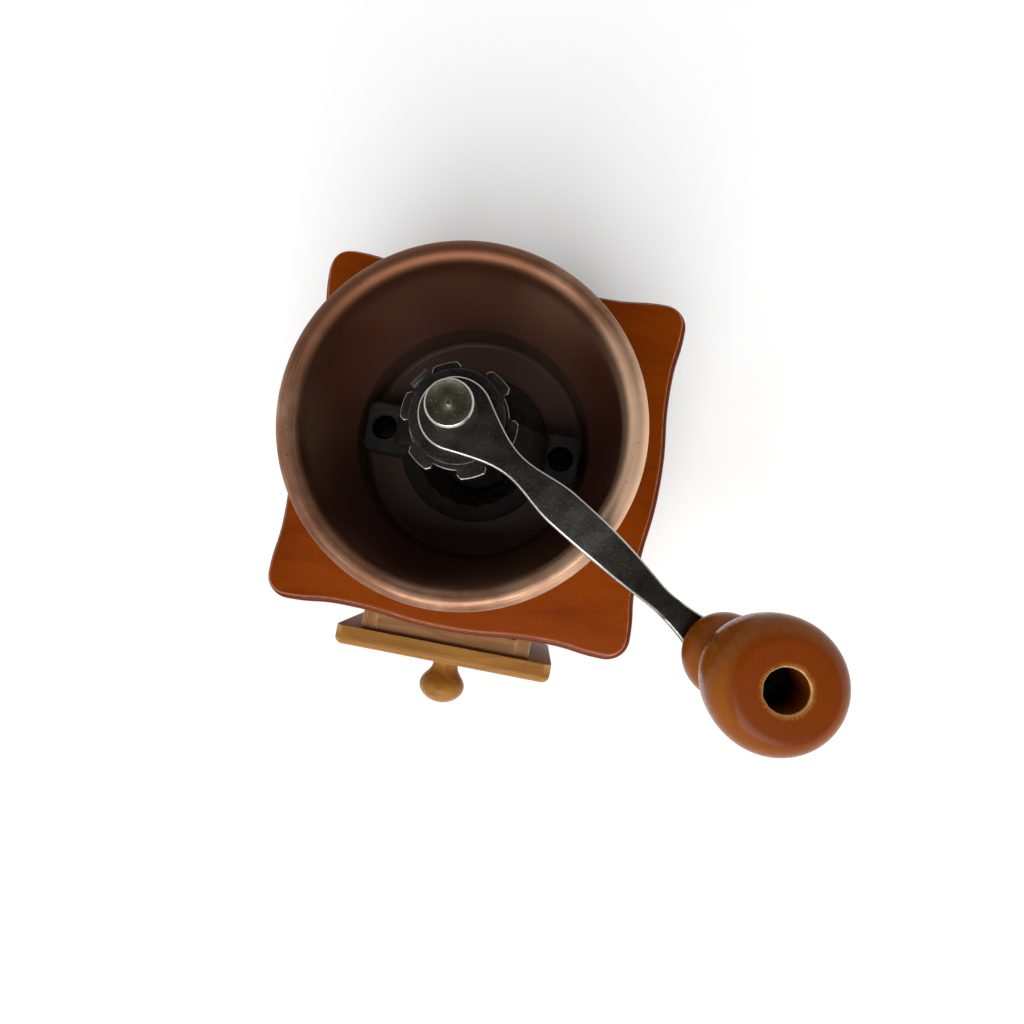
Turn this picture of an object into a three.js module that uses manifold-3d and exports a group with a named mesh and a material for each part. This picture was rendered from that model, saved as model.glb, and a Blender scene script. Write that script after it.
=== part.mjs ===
// Hand coffee mill: a wooden case with a drawer, an open copper hopper on top and a crank.
// Millimetres, +Z up. The underside of the base is at z = 0, the mill axis is x = y = 0,
// and the drawer opens towards -Y.
import * as THREE from 'three';
import { mergeVertices } from 'three/addons/utils/BufferGeometryUtils.js';
import Module from 'manifold-3d';

// Gap between pieces that move past each other, or that pass through a hole
const gap = 0.3;

// Boards above and below the case: each side swells in the middle, draws in, and ends in a lobe.
// They are a little less deep than wide
const boardLobe = 71.8;
const boardWaist = 70.2;
const boardBelly = 72.8;
const boardWaistAt = 40.1;
const lobeRadius = 9.2;
const boardDepthShare = 0.98;
const boardThick = 12;
const edgeStep = 2.2;
const edgeStepDepth = 4;
const edgeRound = 1.8;

// Case walls, with wood screws from below and dowels from above in the side walls
const caseHalf = 57;
const wallThick = 8;
const wallHeight = 61;
const cornerRound = 2.5;
const dowelRadius = 2.5;
const dowelLength = 20;
const dowelInBoard = 7;
const dowelSpacing = 70;
const woodScrewLength = 30;
const woodScrewRadius = 1.8;
const woodScrewHead = 4;
const woodScrewSpacing = 76;
const slotWidth = 0.9;

// Drawer, its front and the strips beside it
const drawerHalf = 35;
const drawerWall = 6;
const innerFrontThick = 7;
const drawerPlay = 0.6;
const drawerHeadroom = 0.5;
const drawerRearRoom = 6.3;
const drawerBackDrop = 3.5;
const drawerFloorThick = 3.5;
const drawerPull = 21.2;
const runnerHeight = 8;
const frontCover = 9.3;
const frontTopCover = 1.8;
const frontLift = 1;
const frontThick = 8;
const frontBevel = 3;

// Turned knob of the drawer and its screw
const pullFoot = 7.4;
const pullNeck = 5.6;
const pullNeckAt = 5;
const pullHead = 10;
const pullHeadAt = 14.5;
const pullLength = 22;
const pullScrewRadius = 2;
const pullScrewBite = 12;
const pullScrewHead = 4;
const pullScrewHeadThick = 2.4;

// Hopper of sheet copper: a pan, a flared wall above it and a rolled rim
const sheet = 1.2;
const panClear = 2;
const panFlare = 1;
const panDepth = 13.4;
const rimRadius = 56.5;
const rimRoll = 3.6;
const rimHeight = 53.3;
const rimSteps = 7;
const wallSteps = 4;

// Bridge over the pan, with its two machine screws
const footReach = 6.8;
const footHeight = 13.3;
const footHalf = 9;
const footRound = 3;
const archHalf = 6;
const archStrap = 5.2;
const archLean = 2.2;
const archShoulder = 9;
const hubRadius = 10;
const hubHeight = 12.9;
const hubShoulder = 7.9;
const boltInset = 4.2;
const boltRadius = 2.5;
const boltHead = 4.3;
const boltHeadThick = 3.2;
const boltSink = 4.5;
const washerRadius = 5.5;
const washerThick = 1;
const nutCorner = 4.6;
const nutThick = 3.2;
const boltEnd = 1;

// Burrs: a fluted ring in the top board and a fluted cone on the spindle
const burrRadius = 23.2;
const burrDrop = 4;
const flangeLip = 4.8;
const flangeThick = 2.5;
const earInset = 1;
const earHalf = 8;
const mouthRadius = 21.6;
const throatRadius = 15;
const throatRise = 7;
const exitRadius = 16.6;
const grindGap = 0.6;
const coneTopRadius = 7.5;
const coneHeight = 14.5;
const coneLift = 0.5;
const ringFlutes = 20;
const coneFlutes = 14;
const fluteDepth = 0.8;
const fluteLean = 1.6;
const pinRadius = 1.2;
const pinLength = 18;
const pinRise = 9;

// Lower bearing
const barThick = 3;
const barHalf = 7;
const barReach = 22.5;
const barRound = 4;
const barScrewX = 20.3;
const barScrewRadius = 1.5;
const barScrewHead = 2.8;
const barScrewLength = 9;

// Spindle, its spring and the thrust washer
const spindleRadius = 4;
const journalRadius = 3;
const collarRadius = 7.4;
const collarThick = 2;
const collarRise = 3.3;
const squareHalf = 2.8;
const threadRadius = 2.5;
const threadLength = 11;
const thrustThick = 0.9;
const thrustRadius = 8;
const springRadius = 6.2;
const springWire = 0.8;
const springTurns = 8;
const springStepsPerTurn = 8;

// Adjusting wheel and lock disc. A tab of the disc is bent down into one notch of the wheel
const wheelRadius = 17.5;
const toothDepth = 2.6;
const wheelTeeth = 6;
const wheelThick = 3;
const toothHalfAngle = 16;
const toothFlatAngle = 12;
const toothChamfer = 1.2;
const wheelCollar = 9;
const wheelCollarRise = 4;
const discRadius = 13.9;
const discThick = 1.5;
const tabPlay = 0.5;
const tabHalf = 3.15;
const tabDrop = 6.5;
const tabAngle = 175.4;

// Crank arm, drawn with the mill axis at x = 0 and the grip along +X
const crankAngle = -31;
const crankReach = 45.4;
const armThick = 4;
const headRadius = 10.6;
const headBlend = 65;
const neckHalf = 3.5;
const neckX = 23.5;
const armHalf = 5.5;
const armWideX = 40;
const armFlat = 22;
const armSag = 2;
const armDrop = 15.3;
const dropLead = 4.4;
const dropEnd = 18;
const dropLag = 1.7;
const wristBefore = 21.9;
const eyeRadius = 8;
const eyeBlend = 120;

// Cap nut
const capRadius = 6.6;
const capHeight = 14.1;
const capChamfer = 1.1;
const capRoof = 2.6;

// Turned grip and its screw
const gripLength = 48.6;
const gripFoot = 9.5;
const beadRadius = 12.3;
const beadAt = 4.6;
const grooveRadius = 9.2;
const grooveAt = 13.1;
const bulbRadius = 16.1;
const bulbFromTop = 7.6;
const faceRadius = 11.3;
const sinkRadius = 5.3;
const sinkDepth = 11;
const gripWasherThick = 0.8;
const gripWasherRadius = 6;
const gripScrewRadius = 2.5;
const gripScrewHead = 4.3;
const gripScrewHeadThick = 3;
const gripScrewEnd = 1.2;

// Facets of round pieces
const wideSides = 40;
const midSides = 28;
const smallSides = 12;

// Heights that follow
const baseTop = boardThick;
const wallTop = baseTop + wallHeight;
const deck = wallTop + boardThick;
const flangeUnder = deck + sheet;
const flangeTop = flangeUnder + flangeThick;
const burrUnder = wallTop - burrDrop;
const throatZ = burrUnder + throatRise;
const barUnder = burrUnder - barThick;
const coneUnder = burrUnder + coneLift;
const collarUnder = flangeTop + collarRise;
const collarTop = collarUnder + collarThick;
const footTop = flangeTop + footHeight;
const rimTop = deck + rimHeight + rimRoll;
const hubTop = rimTop;
const hubUnder = hubTop - hubHeight;
const thrustTop = hubUnder - gap;
const thrustUnder = thrustTop - thrustThick;
const wheelUnder = hubTop + gap;
const wheelTop = wheelUnder + wheelThick;
const wheelCollarTop = wheelTop + wheelCollarRise;
const discUnder = wheelCollarTop + gap;
const discTop = discUnder + discThick;
const armUnder = discTop + gap;
const armTop = armUnder + armThick;
const capUnder = armTop + gap;
const capTop = capUnder + capHeight;
const eyeTop = armTop - armDrop;
const eyeUnder = eyeTop - armThick;
const gripWasherUnder = eyeTop + gap;
const gripUnder = gripWasherUnder + gripWasherThick + gap;
const gripSinkFloor = gripUnder + gripLength - sinkDepth;

// Drawer heights: it slides on the base and passes below the lower bearing
const drawerUnder = baseTop + gap;
const drawerTop = barUnder - drawerHeadroom;
const openingTop = drawerTop + drawerPlay;
const frontUnder = baseTop + frontLift;
const frontTop = openingTop + frontTopCover;
const pullHeight = (frontUnder + frontTop) / 2;

// Plan sizes that follow
const innerHalf = caseHalf - wallThick;
const wallMiddle = caseHalf - wallThick / 2;
const openingHalf = drawerHalf + drawerPlay;
const frontHalf = openingHalf + frontCover;
const drawerInside = drawerHalf - drawerWall;
const drawerDepth = caseHalf + gap + innerHalf - drawerRearRoom;
const flangeRadius = burrRadius + flangeLip;
const boltX = flangeRadius + boltInset;
const footOuter = boltX + footReach;
const earReach = footOuter - earInset;
const panFloor = footOuter + panClear;
const panRadius = panFloor + panFlare;
const archFootOuter = boltX - boltHead - 3 * gap;
const archFootInner = archFootOuter - archStrap;
const wheelRoot = wheelRadius - toothDepth;
const crankRadius = rimRadius + crankReach;
const dropStartX = rimRadius - dropLead;
const dropEndX = crankRadius - dropEnd;

// Finishes
const varnished = { color: 0x6f3309, roughness: 0.35, metalness: 0 };
const bareWood = { color: 0x96682f, roughness: 0.55, metalness: 0 };
const gripWood = { color: 0x8a4f1f, roughness: 0.35, metalness: 0 };
const copper = { color: 0x8c5f4a, roughness: 0.35, metalness: 1 };
const castIron = { color: 0x2e2c2b, roughness: 0.6, metalness: 1 };
const forgedIron = { color: 0x55524d, roughness: 0.42, metalness: 1 };
const steel = { color: 0x8a8880, roughness: 0.35, metalness: 1 };

const wasm = await Module();
wasm.setup();

const mill = new THREE.Group();

function radians(degrees) {
  return (degrees * Math.PI) / 180;
}

// A closed geometry as a solid that can be cut and joined
function solid(geometry) {
  const bare = geometry.clone();
  bare.deleteAttribute('normal');
  bare.deleteAttribute('uv');
  const merged = mergeVertices(bare, 1e-4);
  const index = merged.index.array;
  const triangles = [];
  for (let i = 0; i < index.length; i += 3) {
    const [a, b, c] = [index[i], index[i + 1], index[i + 2]];
    if (a !== b && b !== c && c !== a) triangles.push(a, b, c);
  }
  return new wasm.Manifold(
    new wasm.Mesh({
      numProp: 3,
      vertProperties: new Float32Array(merged.attributes.position.array),
      triVerts: new Uint32Array(triangles),
    }),
  );
}

function geometryOf(body) {
  const mesh = body.getMesh();
  const geometry = new THREE.BufferGeometry();
  geometry.setAttribute('position', new THREE.BufferAttribute(mesh.vertProperties, 3));
  geometry.setIndex(new THREE.BufferAttribute(mesh.triVerts, 1));
  geometry.computeVertexNormals();
  return geometry;
}

function cut(geometry, ...tools) {
  return geometryOf(tools.reduce((body, tool) => body.subtract(solid(tool)), solid(geometry)));
}

function join(geometry, ...others) {
  return geometryOf(others.reduce((body, other) => body.add(solid(other)), solid(geometry)));
}

function common(geometry, other) {
  return geometryOf(solid(geometry).intersect(solid(other)));
}

// Adds one named piece to a group
function piece(name, geometry, finish, group = mill) {
  const mesh = new THREE.Mesh(geometryOf(solid(geometry)), new THREE.MeshStandardMaterial(finish));
  mesh.name = name;
  group.add(mesh);
}

// Revolves [radius, height] points about Z. The points run up the outside, then down the inside
function turned(points, sides) {
  const profile = points.map(([radius, height]) => new THREE.Vector2(radius, height));
  return new THREE.LatheGeometry(profile, sides).rotateX(Math.PI / 2);
}

function rod(radius, from, to, sides = smallSides) {
  return turned([[0, from], [radius, from], [radius, to], [0, to]], sides);
}

function ring(inner, outer, from, to, sides) {
  return turned([[inner, from], [outer, from], [outer, to], [inner, to], [inner, from]], sides);
}

// A box between two corners
function block(low, high) {
  const size = high.map((value, axis) => value - low[axis]);
  const middle = high.map((value, axis) => (value + low[axis]) / 2);
  return new THREE.BoxGeometry(...size).translate(...middle);
}

// A plate with a flat outline, from one height to another
function plate(outline, from, to, curveSegments = 4) {
  const options = { depth: to - from, bevelEnabled: false, curveSegments };
  return new THREE.ExtrudeGeometry(outline, options).translate(0, 0, from);
}

// The same with its upper and lower edges rounded
function softPlate(outline, from, to, round, curveSegments, bevelSegments) {
  const options = {
    depth: to - from - 2 * round,
    bevelThickness: round,
    bevelSize: round,
    bevelOffset: -round,
    bevelSegments,
    curveSegments,
  };
  return new THREE.ExtrudeGeometry(outline, options).translate(0, 0, from + round);
}

// An outline in x and z, as thick as asked along Y and centred on it
function upright(outline, half, curveSegments = 6) {
  return plate(outline, -half, half, curveSegments).rotateX(Math.PI / 2);
}

function rectangle(halfX, halfY, round) {
  const [x, y] = [halfX - round, halfY - round];
  const quarter = Math.PI / 2;
  const outline = new THREE.Shape();
  outline.absarc(x, y, round, 0, quarter);
  outline.absarc(-x, y, round, quarter, 2 * quarter);
  outline.absarc(-x, -y, round, 2 * quarter, 3 * quarter);
  outline.absarc(x, -y, round, 3 * quarter, 4 * quarter);
  return outline;
}

// Cupid's-bow outline of a board, drawn in by inset all round
function boardOutline(inset) {
  const [lobe, waist, belly] = [boardLobe - inset, boardWaist - inset, boardBelly - inset];
  const lobeAt = boardLobe - lobeRadius;
  const [near, far] = [boardWaistAt / 2, (lobeAt - boardWaistAt) / 2];
  const outline = new THREE.Shape().moveTo(belly, 0);
  for (let side = 0; side < 4; side++) {
    const turn = (side * Math.PI) / 2;
    const at = (x, y) => [
      x * Math.cos(turn) - y * Math.sin(turn),
      x * Math.sin(turn) + y * Math.cos(turn),
    ];
    const curve = (a, b, c) => outline.bezierCurveTo(...at(...a), ...at(...b), ...at(...c));
    curve([belly, near], [waist, boardWaistAt - near], [waist, boardWaistAt]);
    curve([waist, boardWaistAt + far], [lobe, lobeAt - far], [lobe, lobeAt]);
    outline.absarc(...at(lobeAt, lobeAt), lobeRadius - inset, turn, turn + Math.PI / 2);
    curve([lobeAt - far, lobe], [boardWaistAt + far, waist], [boardWaistAt, waist]);
    curve([boardWaistAt - near, waist], [near, belly], [0, belly]);
  }
  return outline;
}

// A board whose upper edge steps in, both parts with soft edges
function mouldedBoard(from) {
  const top = from + boardThick;
  const lower = softPlate(boardOutline(0), from, top - edgeStepDepth, edgeRound, 3, 2);
  const upper = softPlate(boardOutline(edgeStep), from + 2 * edgeRound, top, edgeRound / 2, 3, 1);
  return join(lower, upper).scale(1, boardDepthShare, 1);
}

// Countersunk slotted screw pointing up, with its head's face at the given height
function sunkScrew(from, length, radius, head) {
  const cone = head - radius;
  const tip = from + length;
  const body = turned(
    [[0, from], [head, from], [radius, from + cone], [radius, tip - radius], [0, tip]],
    smallSides,
  );
  const slot = block([-head, -slotWidth / 2, from - 1], [head, slotWidth / 2, from + cone / 2]);
  return cut(body, slot);
}

// The hole of such a screw, open downwards
function sunkHole(from, length, radius, head) {
  const cone = head - radius;
  const tip = from + length + gap;
  const [wide, narrow] = [head + gap, radius + gap];
  return turned(
    [[0, from - 1], [wide, from - 1], [wide, from], [narrow, from + cone], [narrow, tip], [0, tip]],
    smallSides,
  );
}

// Four places, on the middles of the side walls
function wallPlaces(spacing) {
  return [-1, 1].flatMap((side) => [-1, 1].map((end) => [side * wallMiddle, (end * spacing) / 2]));
}

const screwSizes = [gap, woodScrewLength, woodScrewRadius, woodScrewHead];
const dowelUnder = wallTop + dowelInBoard - dowelLength;
const dowelTop = wallTop + dowelInBoard;

function screwHoles(places) {
  return places.map(([x, y]) => sunkHole(...screwSizes).translate(x, y, 0));
}

function dowelHoles(places) {
  return places.map(([x, y]) =>
    rod(dowelRadius + gap, dowelUnder - gap, dowelTop + gap).translate(x, y, 0),
  );
}

function makeBoards() {
  const base = cut(mouldedBoard(0), ...screwHoles(wallPlaces(woodScrewSpacing)));
  piece('base_board', base, varnished);
  const burrHole = rod(burrRadius + gap, wallTop - 1, deck + 1, wideSides);
  const boltHoles = [-boltX, boltX].map((x) =>
    rod(boltRadius + gap, wallTop - 1, deck + 1).translate(x, 0, 0),
  );
  const pinHoles = dowelHoles(wallPlaces(dowelSpacing));
  piece('top_board', cut(mouldedBoard(wallTop), burrHole, ...boltHoles, ...pinHoles), varnished);
}

// Front and back run the full width with soft outer corners; the sides stand between them
function makeWalls() {
  for (const [name, side] of [['case_left', -1], ['case_right', 1]]) {
    const [low, high] = side < 0 ? [-caseHalf, -innerHalf] : [innerHalf, caseHalf];
    const own = (places) => places.filter(([x]) => x * side > 0);
    const board = block([low, -innerHalf, baseTop], [high, innerHalf, wallTop]);
    const holes = [
      ...screwHoles(own(wallPlaces(woodScrewSpacing))),
      ...dowelHoles(own(wallPlaces(dowelSpacing))),
    ];
    piece(name, cut(board, ...holes), varnished);
  }
  const tall = plate(rectangle(caseHalf, caseHalf, cornerRound), baseTop, wallTop, 2);
  const past = caseHalf + 1;
  const [under, over] = [baseTop - 1, wallTop + 1];
  const back = common(tall, block([-past, innerHalf, under], [past, past, over]));
  piece('case_back', back, varnished);
  const front = common(tall, block([-past, -past, under], [past, -innerHalf, over]));
  const opening = block([-openingHalf, -past, under], [openingHalf, 1 - innerHalf, openingTop]);
  piece('case_front', cut(front, opening), varnished);
}

function makeCaseFittings() {
  wallPlaces(woodScrewSpacing).forEach(([x, y], i) => {
    piece(`base_screw_${i + 1}`, sunkScrew(...screwSizes).translate(x, y, 0), steel);
  });
  wallPlaces(dowelSpacing).forEach(([x, y], i) => {
    piece(`dowel_${i + 1}`, rod(dowelRadius, dowelUnder, dowelTop).translate(x, y, 0), bareWood);
  });
  for (const [name, side] of [['runner_left', -1], ['runner_right', 1]]) {
    const [low, high] = side < 0 ? [-innerHalf, -openingHalf] : [openingHalf, innerHalf];
    const strip = block([low, -innerHalf, baseTop], [high, innerHalf, baseTop + runnerHeight]);
    piece(name, strip, bareWood);
  }
}

// Turns a piece made along +Z to point out of the drawer's front, at the knob's height
function towardsFront(geometry) {
  return geometry.rotateX(Math.PI / 2).translate(0, 0, pullHeight);
}

// Front panel with its back at y = 0 and its front edges rounded
function drawerPanel() {
  const spare = 1;
  const halfHeight = (frontTop - frontUnder) / 2;
  const panel = new THREE.ExtrudeGeometry(rectangle(frontHalf, halfHeight, frontBevel + 1), {
    depth: frontThick - frontBevel + spare,
    bevelThickness: frontBevel,
    bevelSize: frontBevel,
    bevelOffset: -frontBevel,
    bevelSegments: 3,
    curveSegments: 2,
  });
  const whole = towardsFront(panel.translate(0, 0, -spare));
  const keep = block([-frontHalf - 1, -frontThick - 1, 0], [frontHalf + 1, 0, wallTop]);
  const hole = towardsFront(rod(pullScrewRadius + gap, -1, frontThick + 1));
  return cut(common(whole, keep), hole);
}

// Mushroom knob, with a blind bore for its screw
function drawerKnob() {
  const past = frontThick + pullLength;
  const neckZ = frontThick + pullNeckAt;
  const headZ = frontThick + pullHeadAt;
  const path = new THREE.Path().moveTo(0, frontThick).lineTo(pullFoot, frontThick);
  path.quadraticCurveTo(pullNeck, frontThick, pullNeck, neckZ);
  path.bezierCurveTo(pullNeck, neckZ + 4, pullHead, headZ - 4, pullHead, headZ);
  path.bezierCurveTo(pullHead, headZ + 4, pullHead / 2, past, 0, past);
  const body = turned(path.getPoints(4).map(({ x, y }) => [x, y]), 20);
  const bore = rod(pullScrewRadius + gap, frontThick - 1, frontThick + pullScrewBite + gap);
  return towardsFront(cut(body, bore));
}

// The knob's screw passes through both layers of the drawer's front
function drawerKnobScrew() {
  const tip = frontThick + pullScrewBite;
  const seat = -innerFrontThick;
  return towardsFront(
    turned(
      [
        [0, seat - pullScrewHeadThick],
        [pullScrewHead * 0.7, seat - pullScrewHeadThick],
        [pullScrewHead, seat - pullScrewHeadThick / 2],
        [pullScrewHead, seat],
        [pullScrewRadius, seat],
        [pullScrewRadius, tip - pullScrewRadius],
        [0, tip],
      ],
      smallSides,
    ),
  );
}

// In the drawer's own group y = 0 is the back of its front panel
function makeDrawer() {
  const drawer = new THREE.Group();
  drawer.position.y = -(caseHalf + gap + drawerPull);
  mill.add(drawer);
  const rear = drawerDepth - drawerWall;
  const floorTop = drawerUnder + drawerFloorThick;
  const backTop = drawerTop - drawerBackDrop;
  const side = (x) => block([x, 0, drawerUnder], [x + drawerWall, drawerDepth, drawerTop]);
  piece('drawer_front', drawerPanel(), bareWood, drawer);
  piece('drawer_side_left', side(-drawerHalf), bareWood, drawer);
  piece('drawer_side_right', side(drawerInside), bareWood, drawer);
  const screwHole = towardsFront(rod(pullScrewRadius + gap, -innerFrontThick - 1, 1));
  const [low, high] = [-drawerInside, drawerInside];
  const innerFront = block([low, 0, drawerUnder], [high, innerFrontThick, drawerTop]);
  piece('drawer_inner_front', cut(innerFront, screwHole), bareWood, drawer);
  const back = block([low, rear, drawerUnder], [high, drawerDepth, backTop]);
  piece('drawer_back', back, bareWood, drawer);
  const floor = block([low, innerFrontThick, drawerUnder], [high, rear, floorTop]);
  piece('drawer_bottom', floor, bareWood, drawer);
  piece('drawer_knob', drawerKnob(), gripWood, drawer);
  piece('drawer_knob_screw', drawerKnobScrew(), steel, drawer);
}

// Hopper section: floor, pan wall, flared wall, then the rolled rim and back down the outside
function makeHopper() {
  const wallX = rimRadius - 2 * rimRoll;
  const flare = new THREE.CubicBezierCurve(
    new THREE.Vector2(panRadius, deck + panDepth),
    new THREE.Vector2(panRadius + 3.5, deck + panDepth + 5.6),
    new THREE.Vector2(wallX, deck + rimHeight - 23.9),
    new THREE.Vector2(wallX, deck + rimHeight - 5.9),
  );
  const inner = [];
  const outer = [];
  for (let i = 0; i <= wallSteps; i++) {
    const point = flare.getPoint(i / wallSteps);
    const along = flare.getTangent(i / wallSteps);
    inner.push([point.x, point.y]);
    outer.push([point.x + sheet * along.y, point.y - sheet * along.x]);
  }
  const rollX = rimRadius - rimRoll;
  const rollZ = deck + rimHeight;
  const rollFrom = -Math.acos((sheet - rimRoll) / rimRoll);
  const roll = [];
  for (let i = 0; i <= rimSteps; i++) {
    const angle = rollFrom + ((Math.PI - rollFrom) * i) / rimSteps;
    roll.push([rollX + rimRoll * Math.cos(angle), rollZ + rimRoll * Math.sin(angle)]);
  }
  const hole = burrRadius + gap;
  const section = [
    [hole, deck],
    [panFloor, deck],
    [panFloor + sheet, deck + sheet],
    ...outer,
    ...roll,
    ...inner.reverse(),
    [panFloor, deck + 2 * sheet],
    [panFloor - sheet, deck + sheet],
    [hole, deck + sheet],
    [hole, deck],
  ];
  const bowl = turned(section, wideSides);
  const boltHoles = [-boltX, boltX].map((x) =>
    rod(boltRadius + gap, deck - 1, deck + sheet + 1).translate(x, 0, 0),
  );
  piece('hopper', cut(bowl, ...boltHoles), copper);
}

// One leg of the bridge, seen along Y, from the foot up into the hub
function bridgeLeg(side) {
  const topX = hubRadius + 1;
  const topZ = hubTop - hubShoulder;
  const shoulderX = archFootOuter - archLean;
  const shoulderZ = footTop + archShoulder;
  const rise = (topZ - shoulderZ) / (shoulderX - topX);
  const length = Math.hypot(1, rise);
  const endX = hubRadius * 0.7;
  const endZ = topZ + (topX - endX) * rise;
  const [inX, inZ] = [(archStrap * rise) / length, archStrap / length];
  const outline = new THREE.Shape();
  outline.moveTo(side * archFootInner, flangeTop);
  outline.lineTo(side * archFootOuter, flangeTop);
  outline.lineTo(side * archFootOuter, footTop);
  outline.lineTo(side * shoulderX, shoulderZ);
  outline.lineTo(side * endX, endZ);
  outline.lineTo(side * endX, endZ - archStrap * length);
  outline.lineTo(side * (shoulderX - inX), shoulderZ - inZ);
  outline.lineTo(side * archFootInner, footTop);
  return upright(outline, archHalf);
}

function makeBridge() {
  const hub = rod(hubRadius, hubUnder, hubTop, midSides);
  const feet = [-1, 1].map((side) => {
    const half = (footOuter - archFootInner) / 2;
    const foot = plate(rectangle(half, footHalf, footRound), flangeTop, footTop, 3);
    return foot.translate(side * (archFootInner + half), 0, 0);
  });
  const whole = join(hub, bridgeLeg(-1), bridgeLeg(1), ...feet);
  const bore = rod(spindleRadius + gap, hubUnder - 1, hubTop + 1, 24);
  const seats = [-boltX, boltX].flatMap((x) => [
    rod(boltRadius + gap, flangeTop - 1, footTop + 1).translate(x, 0, 0),
    rod(boltHead + gap, footTop - boltSink, footTop + 1, 20).translate(x, 0, 0),
  ]);
  piece('bridge', cut(whole, bore, ...seats), castIron);
}

// Machine screws through feet, flange ears, hopper and board, each with a washer and a nut
function makeBridgeBolts() {
  const seat = footTop - boltSink;
  const headTop = seat + boltHeadThick;
  const nutTop = wallTop - washerThick;
  const nutUnder = nutTop - nutThick;
  const past = boltHead + 1;
  for (const [word, x] of [['left', -boltX], ['right', boltX]]) {
    const body = turned(
      [
        [0, nutUnder - boltEnd],
        [boltRadius, nutUnder - boltEnd],
        [boltRadius, seat],
        [boltHead, seat],
        [boltHead, headTop - 0.8],
        [boltHead - 0.8, headTop],
        [0, headTop],
      ],
      smallSides,
    );
    const slot = block([-past, -slotWidth / 2, headTop - 1.4], [past, slotWidth / 2, headTop + 1]);
    piece(`bridge_screw_${word}`, cut(body, slot).translate(x, 0, 0), steel);
    const washer = ring(boltRadius + gap, washerRadius, nutTop, wallTop, 20);
    piece(`bridge_washer_${word}`, washer.translate(x, 0, 0), steel);
    const thread = rod(boltRadius + gap, nutUnder - 1, nutTop + 1);
    const nut = cut(rod(nutCorner, nutUnder, nutTop, 6), thread);
    piece(`bridge_nut_${word}`, nut.translate(x, 0, 0), steel);
  }
}

// Cone with flutes: every second line of it stands off by the depth, and all lean with height
function fluted(lowRadius, highRadius, from, to, flutes, depth) {
  const cone = new THREE.CylinderGeometry(highRadius, lowRadius, to - from, 2 * flutes, 3);
  cone.rotateX(Math.PI / 2).translate(0, 0, (from + to) / 2);
  const points = cone.attributes.position;
  for (let i = 0; i < points.count; i++) {
    const [x, y, z] = [points.getX(i), points.getY(i), points.getZ(i)];
    const radius = Math.hypot(x, y);
    if (radius < 0.01) continue;
    const angle = Math.atan2(y, x);
    const groove = Math.cos(flutes * (angle + Math.PI / 2)) < 0;
    const turn = angle + radians(fluteLean * (z - throatZ));
    const reach = radius + (groove ? depth : 0);
    points.setXYZ(i, reach * Math.cos(turn), reach * Math.sin(turn), z);
  }
  return cone;
}

function makeOuterBurr() {
  const body = rod(burrRadius, burrUnder, flangeUnder + flangeThick / 2, wideSides);
  const flange = rod(flangeRadius, flangeUnder, flangeTop, wideSides);
  const ears = plate(rectangle(earReach, earHalf, footRound), flangeUnder, flangeTop, 3);
  const spread = (mouthRadius - throatRadius) / (flangeTop - throatZ);
  const taper = (exitRadius - throatRadius) / throatRise;
  const upperRadius = mouthRadius + spread;
  const lowerRadius = exitRadius + taper;
  const upper = fluted(throatRadius, upperRadius, throatZ, flangeTop + 1, ringFlutes, fluteDepth);
  const lower = fluted(lowerRadius, throatRadius, burrUnder - 1, throatZ, ringFlutes, fluteDepth);
  const boltHoles = [-boltX, boltX].map((x) =>
    rod(boltRadius + gap, flangeUnder - 1, flangeTop + 1).translate(x, 0, 0),
  );
  const screwTop = barUnder + barScrewLength + 2 * gap;
  const screwBores = [-barScrewX, barScrewX].map((x) =>
    rod(barScrewRadius + gap, barUnder - 1, screwTop).translate(x, 0, 0),
  );
  const whole = join(body, flange, ears);
  piece('outer_burr', cut(whole, join(upper, lower), ...boltHoles, ...screwBores), castIron);
}

function makeBearing() {
  const bar = plate(rectangle(barReach, barHalf, barRound), barUnder, burrUnder, 3);
  const sizes = [barUnder + gap, barScrewLength, barScrewRadius, barScrewHead];
  const places = [['left', -barScrewX], ['right', barScrewX]];
  const holes = places.map(([, x]) => sunkHole(...sizes).translate(x, 0, 0));
  const journal = rod(journalRadius + gap, barUnder - 1, burrUnder + 1, 20);
  piece('bearing_bar', cut(bar, journal, ...holes), forgedIron);
  for (const [word, x] of places) {
    piece(`bar_screw_${word}`, sunkScrew(...sizes).translate(x, 0, 0), steel);
  }
}

// A rod across the spindle at the height of the burr's pin
function crossPin(radius, length) {
  return rod(radius, -length / 2, length / 2, 12)
    .rotateY(Math.PI / 2)
    .translate(0, 0, coneUnder + pinRise);
}

// Spindle: journal, collar for the spring, square for disc and arm, thread for the cap nut
function makeSpindle(crank) {
  const body = turned(
    [
      [0, barUnder + gap],
      [journalRadius, barUnder + gap],
      [journalRadius, burrUnder + gap],
      [spindleRadius, burrUnder + gap],
      [spindleRadius, collarUnder],
      [collarRadius, collarUnder],
      [collarRadius, collarTop],
      [spindleRadius, collarTop],
      [spindleRadius, wheelCollarTop],
      [threadRadius, wheelCollarTop],
      [threadRadius, capUnder + threadLength],
      [0, capUnder + threadLength],
    ],
    24,
  );
  const [from, to] = [wheelCollarTop - 1, armTop];
  const square = block([-squareHalf, -squareHalf, from], [squareHalf, squareHalf, to]);
  const pinHole = crossPin(pinRadius + gap, 4 * spindleRadius);
  piece('spindle', cut(join(body, square), pinHole), steel, crank);
}

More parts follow.
